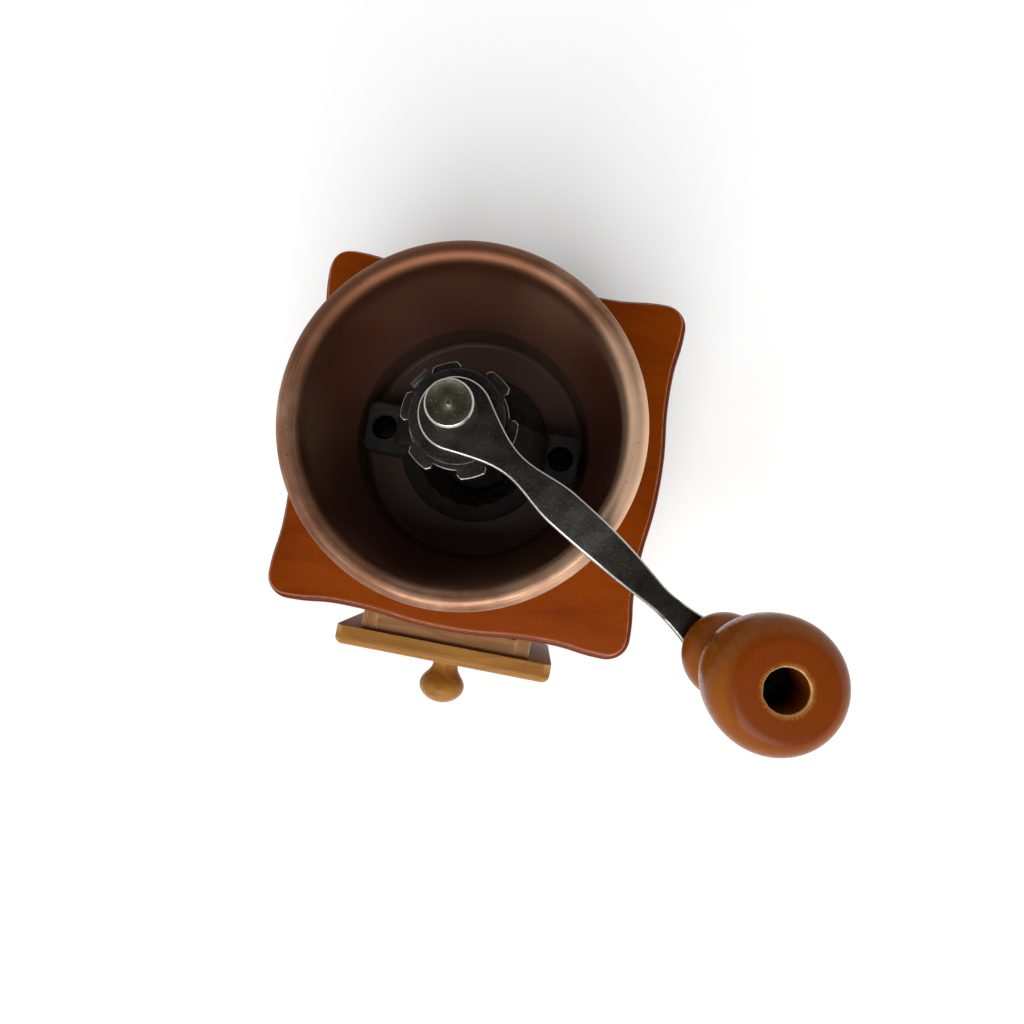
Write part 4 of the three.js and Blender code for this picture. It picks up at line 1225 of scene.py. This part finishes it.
class MILL_OT_burrs(bpy.types.Operator):
    """Makes the fluted ring and the fluted cone that grind"""

    bl_idname = "mill.burrs"
    bl_label = "Burrs"

    def execute(self, context):
        iron = shared("cast iron", cast_iron, context.scene.mill_metal)
        turns = [2 * math.pi * i / 480 for i in range(480)]

        def lean(height):
            return math.radians(1.6 * (height - THROAT))

        def around(reach, height):
            return [
                (reach(t) * math.cos(t), reach(t) * math.sin(t), height) for t in turns
            ]

        def fluted_mouth(radius, height):
            return around(lambda t: radius + 0.8 * flute(t, 20, lean(height)), height)

        loops = [around(lambda t, d=draw: flange_reach(t) - d, FLANGE_UNDER + rise)
                 for draw, rise in quarter(0.3, 2)]
        loops += [around(lambda t, d=draw: flange_reach(t) - d, FLANGE_TOP - rise)
                  for draw, rise in reversed(quarter(0.5, 3))]
        loops.append(around(lambda t: 24.6, FLANGE_TOP))
        spread = (21.6 - 15.0) / (FLANGE_TOP - THROAT)
        for i in range(9):
            height = FLANGE_TOP - 0.15 - (FLANGE_TOP - 0.15 - THROAT) * i / 8
            loops.append(fluted_mouth(15.0 + spread * (height - THROAT), height))
        for height in (73.5, 71.0, BURR_UNDER):
            loops.append(fluted_mouth(15.0 + 1.6 * (THROAT - height) / 7, height))
        loops.append(around(lambda t: 22.9, BURR_UNDER))
        loops.append(around(lambda t: 23.2, BURR_UNDER + 0.3))
        loops.append(around(lambda t: 23.2, FLANGE_UNDER))
        ring = make("fluted_ring", stack(loops, closed=True))
        holes = Form()
        for x in (-BOLT_X, BOLT_X):
            holes.add(rod(BOLT_HOLE, FLANGE_UNDER - 1, FLANGE_TOP + 1, 32).moved(x))
        for x in (-20.3, 20.3):
            holes.add(rod(1.8, BURR_UNDER - 1, 75.6, 24).moved(x))
        carve(ring, holes)
        seat(ring, "housing", "black_iron", iron, "outer_burr")

        root, top = 15.2, 6.7
        loops = []
        for i in range(11):
            height = CONE_UNDER + (CONE_TOP - CONE_UNDER) * i / 10
            radius = root + (top - root) * i / 10
            loops.append(
                around(
                    lambda t, r=radius, h=height: r + 0.8 * (1 - flute(t, 14, lean(h))), height
                )
            )
        loops += [around(lambda t: SPINDLE_HOLE, height) for height in (CONE_TOP, CONE_UNDER)]
        cone = make("fluted_cone", stack(loops, closed=True).placed(TURNED))
        carve(cone, pin_hole(33))
        seat(cone, "crank", "black_iron", iron, "inner_burr")
        return {"FINISHED"}


class MILL_OT_spindle(bpy.types.Operator):
    """Makes the spindle, its spring and the thrust washer"""

    bl_idname = "mill.spindle"
    bl_label = "Spindle"

    def execute(self, context):
        metal = context.scene.mill_metal
        bright = shared("dull steel", steel, metal)
        profile = [
            (0, 66.3), (3.0, 66.3), (3.0, 69.3), (SPINDLE, 69.3), (SPINDLE, COLLAR_UNDER),
            (7.4, COLLAR_UNDER), (7.4, COLLAR_TOP), (SPINDLE, COLLAR_TOP),
            (SPINDLE, WHEEL_COLLAR_TOP), (2.5, WHEEL_COLLAR_TOP), (2.5, CAP_UNDER + 11),
            (0, CAP_UNDER + 11),
        ]
        shaft = turned(soften(profile, 0.35, 3), 64)
        shaft.add(box((-SQUARE, -SQUARE, WHEEL_COLLAR_TOP - 1), (SQUARE, SQUARE, ARM_TOP)))
        spindle = make("turned_spindle", shaft.placed(TURNED))
        mark_outer_edges(spindle)
        carve(spindle, pin_hole(8))
        seat(spindle, "crank", "forged_iron", bright, "spindle")

        wire, coil, turns, steps = 0.8, 6.2, 8, 40
        low, high = COLLAR_TOP + 0.3 + wire, THRUST_UNDER - 0.3 - wire
        lead = 2 * wire + 0.1
        loops = []
        for i in range(turns * steps + 1):
            turn = i / steps
            if turn < 1:
                height = low + lead * turn
            elif turn > turns - 1:
                height = high - lead * (turns - turn)
            else:
                free = (turn - 1) / (turns - 2)
                height = low + lead + (high - low - 2 * lead) * free
            angle = 2 * math.pi * turn
            out = Vector((math.cos(angle), math.sin(angle), 0))
            middle = out * coil + Vector((0, 0, height))
            loops.append(
                [
                    middle + (out * math.cos(a) + Vector((0, 0, math.sin(a)))) * wire
                    for a in (2 * math.pi * k / 12 for k in range(12))
                ]
            )
        spring = make("coil_spring", stack(loops).placed(TURNED))
        seat(spring, "crank", "screw_steel", bright, "spindle_spring", crease=60)

        inner, outer = SPINDLE_HOLE, 8.0
        section = [(inner, THRUST_UNDER), (outer, THRUST_UNDER), (outer, THRUST_TOP),
                   (inner, THRUST_TOP)]
        washer = make("hub_washer", turned(soften(section, 0.2, 3, True), 64, closed=True))
        mark_outer_edges(washer)
        seat(washer, "crank", "screw_steel", bright, "thrust_washer")
        return {"FINISHED"}


def wheel_outline(draw):
    """Six teeth with clipped corners, with the first notch at the lock disc's tab."""
    outline = []
    for tooth in range(6):
        middle = TAB_ANGLE + (tooth + 0.5) * 60
        outline += arc((0, 0), WHEEL_ROOT, middle + 16 - 60, middle - 16, 12)
        outline += arc((0, 0), WHEEL - 1.2, middle - 16, middle - 16, 1)[:1]
        outline += arc((0, 0), WHEEL, middle - 12, middle + 12, 10)
        outline += arc((0, 0), WHEEL - 1.2, middle + 16, middle + 16, 1)[:1]
    return soften(inset(outline, draw), max(0.5 - draw, 0.02), 3, True)


class MILL_OT_wheel(bpy.types.Operator):
    """Makes the six-toothed adjusting wheel"""

    bl_idname = "mill.wheel"
    bl_label = "Adjusting wheel"

    def execute(self, context):
        metal = context.scene.mill_metal
        toothed = plate(wheel_outline, WHEEL_UNDER, WHEEL_TOP, 0.4, margin=0.25)
        wheel = make("toothed_wheel", toothed)
        mark_outer_edges(wheel)
        collar = [(0, WHEEL_TOP - 1), (WHEEL_COLLAR, WHEEL_TOP - 1),
                  (WHEEL_COLLAR, WHEEL_COLLAR_TOP), (0, WHEEL_COLLAR_TOP)]
        carve(wheel, turned(soften(collar, 0.4, 4), 96), "UNION")
        carve(wheel, rod(SPINDLE_HOLE, WHEEL_UNDER - 1, WHEEL_COLLAR_TOP + 1, 64))
        wheel.data.transform(TURNED)
        iron = shared("forged iron", dark_forged_iron, metal)
        seat(wheel, "crank", "forged_iron", iron, "adjusting_wheel")
        return {"FINISHED"}


def square_hole(low, high):
    """A hole for the spindle's square, through a piece between two heights."""
    return box((-SQUARE_HOLE, -SQUARE_HOLE, low - 1), (SQUARE_HOLE, SQUARE_HOLE, high + 1))


class MILL_OT_lock_disc(bpy.types.Operator):
    """Makes the lock disc with its tab bent into a notch of the wheel"""

    bl_idname = "mill.lock_disc"
    bl_label = "Lock disc"

    def execute(self, context):
        metal = context.scene.mill_metal

        def outline(draw):
            return arc((0, 0), DISC - draw, 0, 360, 144)[:-1]

        disc = make("tabbed_disc", plate(outline, DISC_UNDER, DISC_TOP, 0.4))
        inner, outer = WHEEL_ROOT + 0.5, WHEEL_ROOT + 2.0
        bend = arc((inner - 0.6, DISC_TOP - 2.1), 2.1, 90, 0, 8)
        back = arc((inner - 0.6, DISC_TOP - 2.1), 0.6, 0, 90, 5)
        low = DISC_UNDER - 6.5
        side = [Vector((11.0, DISC_TOP)), *bend, Vector((outer, low)), Vector((inner, low)), *back,
                Vector((11.0, DISC_UNDER))]
        tab = stack([[(p.x, y, p.y) for p in side] for y in (-3.15, 3.15)])
        tab.placed(Matrix.Rotation(math.radians(TAB_ANGLE), 4, "Z"))
        carve(disc, tab, "UNION")
        edges = disc.modifiers.new("rubbed tab", "BEVEL")
        edges.width = 0.25 * MM
        edges.segments = 2
        edges.angle_limit = math.radians(60)
        settle(disc)
        mark_outer_edges(disc, 0.1, 0.5)
        carve(disc, square_hole(DISC_UNDER, DISC_TOP))
        disc.data.transform(TURNED)
        iron = shared("forged iron", dark_forged_iron, metal)
        seat(disc, "crank", "forged_iron", iron, "lock_disc")
        return {"FINISHED"}


def arm_edge():
    """One side of the arm's plan, from the tip of its head to the tip of its eye."""
    head_turn, eye_turn, slim, broad = 65, 120, ARM_NECK, ARM_BROAD
    neck_at, broad_at, wrist_at = 23.5, 40, 80
    head = arc((0, 0), ARM_HEAD, 180, head_turn, 24)
    eye = arc((CRANK, 0), ARM_EYE, eye_turn, 0, 22)
    edge = head[:-1]
    edge += curve([head[-1], head[-1] + Vector((8.48, -3.92)), (17.5, slim), (neck_at, slim)], 18)
    edge += curve([(neck_at, slim), (28.5, slim), (34, broad), (broad_at, broad)], 14)
    edge += curve([(broad_at, broad), (66, broad), (73, slim), (wrist_at, slim)], 26)
    edge += curve([(wrist_at, slim), (84, slim), eye[0] - Vector((4.32, 2.48)), eye[0]], 14)
    edge += eye
    edge[0].y = edge[-1].y = 0.0
    return edge


def height_along(line, x):
    """Height of a side-view line at x."""
    for here, after in zip(line, line[1:]):
        if here.x <= x <= after.x:
            share = (x - here.x) / max(1e-9, after.x - here.x)
            return here.y + (after.y - here.y) * share
    return line[0].y if x < line[0].x else line[-1].y


def arm_lines():
    """Upper and lower side-view lines of the arm: level, a slight fall, then a step down."""
    start, end = RIM - 4.4, CRANK - 18
    fall = ARM_TOP - 2
    upper = [Vector((-12, ARM_TOP))]
    upper += curve([(22, ARM_TOP), (start - 12, ARM_TOP), (start, fall)], 24)
    step = [(start, fall), (start + 12, fall - 2), (end - 7, EYE_TOP), (end, EYE_TOP)]
    upper += curve(step, 40)
    upper += [Vector((end, EYE_TOP)), Vector((CRANK + 10, EYE_TOP))]
    start, end, fall = start - 1.7, end - 1.7, fall - 4
    lower = [Vector((-12, ARM_UNDER))]
    lower += curve([(22, ARM_UNDER), (start - 12, ARM_UNDER), (start, fall)], 24)
    step = [(start, fall), (start + 12, fall - 2), (end - 7, EYE_UNDER), (end, EYE_UNDER)]
    lower += curve(step, 40)
    lower += [Vector((end, EYE_UNDER)), Vector((CRANK + 10, EYE_UNDER))]
    return upper, lower


class MILL_OT_crank_arm(bpy.types.Operator):
    """Forges the crank arm with its head, its step down and its eye"""

    bl_idname = "mill.crank_arm"
    bl_label = "Crank arm"

    def execute(self, context):
        metal = context.scene.mill_metal
        soft = context.scene.mill_shape.arm_edge / MM
        edge = arm_edge()
        outline = edge[::-1] + [Vector((p.x, -p.y)) for p in edge[1:-1]]
        upper, lower = arm_lines()
        rounding = [(soft + 0.6, 0.0)] + quarter(soft, 4)
        form, rings = Form(), []
        for line, way, sections in ((lower, 1, rounding), (upper, -1, rounding[::-1])):
            for draw, rise in sections:
                drawn = inset(outline, draw)
                rings.append(
                    form.loop([(p.x, p.y, height_along(line, p.x) + way * rise) for p in drawn])
                )
        for low, high in zip(rings, rings[1:]):
            form.skin(low, high)
        for ring in (rings[0], rings[-1]):
            for i in range(len(edge) - 1):
                face = (ring[i], ring[i + 1], ring[-i - 1], ring[-i])
                form.faces.append(list(dict.fromkeys(face)))
        arm = make("forged_arm", form)
        mark_outer_edges(arm, 0.05, 0.22)
        holes = square_hole(ARM_UNDER, ARM_TOP)
        holes.add(rod(BOLT_HOLE, EYE_UNDER - 1, EYE_TOP + 1, 40).moved(CRANK))
        carve(arm, holes)
        arm.data.transform(TURNED)
        iron = shared("forged iron", dark_forged_iron, metal)
        seat(arm, "crank", "forged_iron", iron, "crank_arm")
        return {"FINISHED"}


class MILL_OT_cap_nut(bpy.types.Operator):
    """Turns the knurled cap nut"""

    bl_idname = "mill.cap_nut"
    bl_label = "Cap nut"

    def execute(self, context):
        metal = context.scene.mill_metal
        knurls = context.scene.mill_shape.knurls
        turns = [2 * math.pi * i / (knurls * 6) for i in range(knurls * 6)]

        def around(radius, height, knurl=0.0):
            reach = [radius - knurl * abs(math.sin(t * knurls / 2)) ** 0.7 for t in turns]
            return [(r * math.cos(t), r * math.sin(t), height) for r, t in zip(reach, turns)]

        loops = [
            around(3.0, CAP_UNDER), around(5.9, CAP_UNDER), around(6.3, CAP_UNDER + 0.4),
            around(6.3, CAP_UNDER + 1.0), around(CAP, CAP_UNDER + 1.3, KNURL),
            around(CAP, CAP_TOP - 2.2, KNURL), around(6.35, CAP_TOP - 1.9),
            around(6.35, CAP_TOP - 1.6), around(6.55, CAP_TOP - 1.4), around(CAP, CAP_TOP - 1.1),
            around(6.5, CAP_TOP - 0.65), around(6.05, CAP_TOP - 0.15), around(5.9, CAP_TOP - 0.1),
            around(5.7, CAP_TOP - 0.22), around(3.0, CAP_TOP - 0.16), around(1.0, CAP_TOP - 0.13),
            around(0.8, CAP_TOP - 0.02), around(0.3, CAP_TOP),
        ]
        nut = make("knurled_nut", stack(loops).placed(TURNED))
        mark_outer_edges(nut)
        carve(nut, rod(BOLT_HOLE, CAP_UNDER - 1, CAP_TOP - 2.6, 40).placed(TURNED))
        finish = forged_iron("cap nut steel", rgb(metal.nut), rgb(metal.forged_wear_and_highlight), 0.36, 0.6)
        seat(nut, "crank", "forged_iron", finish, "cap_nut", crease=50)
        return {"FINISHED"}


class MILL_OT_grip(bpy.types.Operator):
    """Turns the wooden grip, and makes its screw and washer"""

    bl_idname = "mill.grip"
    bl_label = "Grip"

    def execute(self, context):
        look = context.scene.mill_wood
        chips = context.scene.mill_shape.chips / MM
        low, top, face = GRIP_UNDER, GRIP_TOP, 11.3
        bead, bead_at = 12.3, low + 4.6
        waist, waist_at = 9.2, low + 13.1
        bulb, bulb_at = 16.1, top - 7.6
        line = [Vector((BOLT_HOLE, low)), Vector((8.5, low))]
        line += curve([(9.5, low), (bead, low), (bead, bead_at)], 14)
        line += curve(
            [(bead, bead_at), (bead, bead_at + 6), (waist, waist_at - 2.5), (waist, waist_at)], 20
        )
        line += curve(
            [(waist, waist_at), (waist, waist_at + 7), (bulb, bulb_at - 12), (bulb, bulb_at)], 26
        )
        line += curve([(bulb, bulb_at), (bulb, top - 2.1), (face, top)], 18)
        line += [Vector((face, top)), Vector((10.3, top)), Vector((7.4, top))]
        sides = 144
        turns = [2 * math.pi * i / sides for i in range(sides)]

        def chip(t):
            rough = noise.noise(Vector((math.cos(t) * 2.2, math.sin(t) * 2.2, 4.0)))
            fine = noise.noise(Vector((math.cos(t) * 9.0, math.sin(t) * 9.0, 7.0)))
            return chips * max(0.0, 0.35 + 1.3 * rough + 0.6 * fine)

        def around(radius, height, widen=0.0, sink=0.0):
            points = []
            for t in turns:
                reach = radius + widen * chip(t)
                points.append((reach * math.cos(t), reach * math.sin(t), height - sink * chip(t)))
            return points

        loops = [around(p.x, p.y) for p in line]
        marks = [0.0] * len(loops)
        sink = [
            (around(5.35, GRIP_TOP, 1.0), 0.0), (around(5.24, GRIP_TOP - 0.1, 1.0, 0.05), 1.0),
            (around(5.16, GRIP_TOP - 0.25, 0.6, 0.5), 1.0),
            (around(5.1, GRIP_TOP - 0.5, 0.1, 1.1), 0.6), (around(5.1, GRIP_TOP - 1.2), -1.0),
            (around(5.1, SINK_FLOOR + 0.3), -1.0), (around(4.8, SINK_FLOOR), -1.0),
            (around(BOLT_HOLE, SINK_FLOOR), -1.0),
        ]
        loops += [loop for loop, _ in sink]
        marks += [mark for _, mark in sink]
        grip = make("turned_grip", stack(loops, marks, closed=True).placed(GRIP_AXIS))
        mark_outer_edges(grip, 0.12, 0.4)
        axis = GRIP_AXIS.translation
        # The grip's end grain colour includes painted shade on its top face.
        grip_wood = wood(
            "grip wood", grip_tones(look), "Z", (axis.x - 5.0, axis.y + 12.0),
            look.ring_spacing / MM, look.polish, look.coat, 0.35, rgb(look.grip_end_grain_and_shade),
            rgb(look.raw),
        )
        seat(grip, "grip", "turned_wood", grip_wood, "handle_knob", crease=55)

        metal = shared("dull steel", steel, context.scene.mill_metal)
        inner, outer = BOLT_HOLE, 6.0
        section = [(inner, WASHER_UNDER), (outer, WASHER_UNDER), (outer, WASHER_TOP),
                   (inner, WASHER_TOP)]
        round_section = soften(section, 0.2, 3, True)
        washer = make("grip_washer", turned(round_section, 64, closed=True).placed(GRIP_AXIS))
        mark_outer_edges(washer)
        seat(washer, "crank", "screw_steel", metal, "handle_washer")
        head_under = SINK_FLOOR + GAP
        head_top = head_under + 3.0
        profile = [(0, EYE_UNDER - 1.2), (BOLT, EYE_UNDER - 1.2), (BOLT, head_under),
                   (BOLT_HEAD, head_under), (BOLT_HEAD, head_top - 1.0)]
        crown = curve([(BOLT_HEAD, head_top - 1.0), (3.7, head_top), (0, head_top)], 10)
        line = soften([*profile, crown[1]], 0.25, 3)[:-1] + crown[1:] + [Vector((0, head_top))]
        screw = make("grip_screw", turned(line, 56).placed(GRIP_AXIS))
        mark_outer_edges(screw)
        slot = box((-6, -SLOT_HALF, head_top - 1.3), (6, SLOT_HALF, head_top + 1))
        carve(screw, slot.placed(GRIP_AXIS))
        dark = shared("blackened steel", blackened_steel, context.scene.mill_metal)
        seat(screw, "crank", "screw_steel", dark, "handle_screw")
        return {"FINISHED"}


class MILL_OT_small_parts(bpy.types.Operator):
    """Gives the hidden dowels, nuts, washers, pin and lower bearing their finishes"""

    bl_idname = "mill.small_parts"
    bl_label = "Small parts"

    def execute(self, context):
        look = context.scene.mill_wood
        metal = context.scene.mill_metal
        bright = shared("dull steel", steel, metal)
        dowel = bare_wood(look, "dowel wood", "Z")
        iron = shared("forged iron", dark_forged_iron, metal)
        finishes = {f"dowel_{i}": dowel for i in range(1, 5)}
        for word in ("left", "right"):
            for kind in ("bridge_washer", "bridge_nut", "bar_screw"):
                finishes[f"{kind}_{word}"] = bright
        finishes["burr_pin"] = bright
        finishes["bearing_bar"] = iron
        for name, finish in finishes.items():
            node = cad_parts[name]
            for slot in node.material_slots:
                slot.link = "OBJECT"
                slot.material = finish
            edges = node.modifiers.new("eased edges", "BEVEL")
            edges.width = 0.12 * MM
            edges.segments = 2
            edges.angle_limit = math.radians(45)
        return {"FINISHED"}


def sky(stage):
    """A soft dome of light, bright at the horizon and dim overhead."""
    world = bpy.data.worlds.new("studio dome")
    bpy.context.scene.world = world
    world.use_nodes = True
    tree = world.node_tree
    tree.nodes.clear()
    place = tree.nodes.new("ShaderNodeTexCoord")
    split = tree.nodes.new("ShaderNodeSeparateXYZ")
    rise = tree.nodes.new("ShaderNodeMapRange")
    rise.interpolation_type = "SMOOTHSTEP"
    for name, value in (
        ("From Min", 0.25), ("From Max", 0.92), ("To Min", stage.horizon), ("To Max", stage.zenith)
    ):
        rise.inputs[name].default_value = value
    light = tree.nodes.new("ShaderNodeBackground")
    out = tree.nodes.new("ShaderNodeOutputWorld")
    tree.links.new(place.outputs["Generated"], split.inputs[0])
    tree.links.new(split.outputs["Z"], rise.inputs["Value"])
    tree.links.new(rise.outputs[0], light.inputs["Strength"])
    tree.links.new(light.outputs[0], out.inputs["Surface"])


def lamp(name, azimuth, elevation, distance, size, power):
    """A square soft lamp that looks at the mill. Azimuth 0 stands at +X, 90 at +Y."""
    turn, rise = math.radians(azimuth), math.radians(elevation)
    towards = Vector(
        (math.cos(turn) * math.cos(rise), math.sin(turn) * math.cos(rise), math.sin(rise))
    )
    data = bpy.data.lights.new(name, "AREA")
    data.shape = "SQUARE"
    data.size = size
    data.energy = power
    light = bpy.data.objects.new(name, data)
    light.location = towards * distance + Vector((0, 0, 0.1))
    light.rotation_euler = towards.to_track_quat("Z", "Y").to_euler()
    bpy.context.scene.collection.objects.link(light)


def floor_paper(stage):
    """White paper that keeps the mill's shadow and is plain white further off."""
    finish = Finish("floor paper")
    x, y, _ = finish.parts(finish.place())
    far = ((x * x + y * y) ** 0.5).between(450.0, 1100.0)
    rays = finish.node("LightPath", output="Is Camera Ray")
    seen = rays + rays.sibling("Is Glossy Ray") + rays.sibling("Is Transmission Ray")
    pale = (stage.floor,) * 3 + (1.0,)
    lit = finish.node("BsdfDiffuse", inputs={"Color": pale})
    shown = finish.node("BsdfDiffuse", inputs={"Color": (1.0, 1.0, 1.0, 1.0)})
    glow = finish.node("Emission", inputs={"Color": (1.0, 1.0, 1.0, 1.0), "Strength": 1.0})
    share = far * (1 - stage.glow) + stage.glow
    shown = finish.node("MixShader", inputs={0: share, 1: shown, 2: glow})
    surface = finish.node("MixShader", inputs={0: seen.between(0.0, 1.0), 1: lit, 2: shown})
    finish.node("OutputMaterial", inputs={"Surface": surface})
    return finish.material


class MILL_OT_stage(bpy.types.Operator):
    """Sets the floor, the light and the camera"""

    bl_idname = "mill.stage"
    bl_label = "Stage"

    def execute(self, context):
        stage = context.scene.mill_stage
        ground = bpy.data.meshes.new("floor")
        reach = FLOOR_REACH
        corners = [(-reach, -reach, 0), (reach, -reach, 0), (reach, reach, 0), (-reach, reach, 0)]
        ground.from_pydata(corners, [], [(0, 1, 2, 3)])
        floor = bpy.data.objects.new("floor", ground)
        floor.location.z = -0.0002
        floor.data.materials.append(floor_paper(stage))
        context.scene.collection.objects.link(floor)
        sky(stage)
        lamp("key_lamp", azimuth=277, elevation=50, distance=2.4, size=1.9, power=stage.key)
        lamp("side_lamp", azimuth=205, elevation=42, distance=2.6, size=1.8, power=stage.side)
        camera = bpy.data.objects.new("camera", bpy.data.cameras.new("camera"))
        camera.data.lens = stage.lens
        camera.data.sensor_width = 36.0
        camera.data.clip_start = 0.01
        camera.location = (0.0267, -0.031, 0.3332)
        camera.rotation_euler = [math.radians(turn) for turn in (2.6, 1.52, 10.66)]
        context.scene.collection.objects.link(camera)
        context.scene.camera = camera
        context.scene.view_settings.view_transform = "Standard"
        return {"FINISHED"}


MAKERS = (
    MILL_OT_stage,
    MILL_OT_boards,
    MILL_OT_case,
    MILL_OT_case_fittings,
    MILL_OT_drawer,
    MILL_OT_drawer_knob,
    MILL_OT_hopper,
    MILL_OT_bridge,
    MILL_OT_bridge_screws,
    MILL_OT_burrs,
    MILL_OT_spindle,
    MILL_OT_wheel,
    MILL_OT_lock_disc,
    MILL_OT_crank_arm,
    MILL_OT_cap_nut,
    MILL_OT_grip,
    MILL_OT_small_parts,
)

SETTINGS = {
    "mill_wood": WoodSettings,
    "mill_metal": MetalSettings,
    "mill_shape": ShapeSettings,
    "mill_stage": StageSettings,
}


class MILL_PT_sidebar(bpy.types.Panel):
    """Lists the mill's settings and its makers"""

    bl_idname = "MILL_PT_sidebar"
    bl_label = "Coffee Mill"
    bl_space_type = "VIEW_3D"
    bl_region_type = "UI"
    bl_category = "Coffee Mill"

    def draw(self, context):
        for name, group in SETTINGS.items():
            column = self.layout.box().column()
            for setting in group.__annotations__:
                column.prop(getattr(context.scene, name), setting)
        column = self.layout.column()
        for maker in MAKERS:
            column.operator(maker.bl_idname)


def register():
    for group in SETTINGS.values():
        bpy.utils.register_class(group)
    for name, group in SETTINGS.items():
        setattr(bpy.types.Scene, name, PointerProperty(type=group))
    for maker in (*MAKERS, MILL_PT_sidebar):
        bpy.utils.register_class(maker)


def unregister():
    for maker in (MILL_PT_sidebar, *reversed(MAKERS)):
        bpy.utils.unregister_class(maker)
    for name in SETTINGS:
        delattr(bpy.types.Scene, name)
    for group in SETTINGS.values():
        bpy.utils.unregister_class(group)


def main():
    register()
    for maker in MAKERS:
        getattr(bpy.ops.mill, maker.bl_idname.split(".")[1])()


if __name__ == "__main__":
    main()
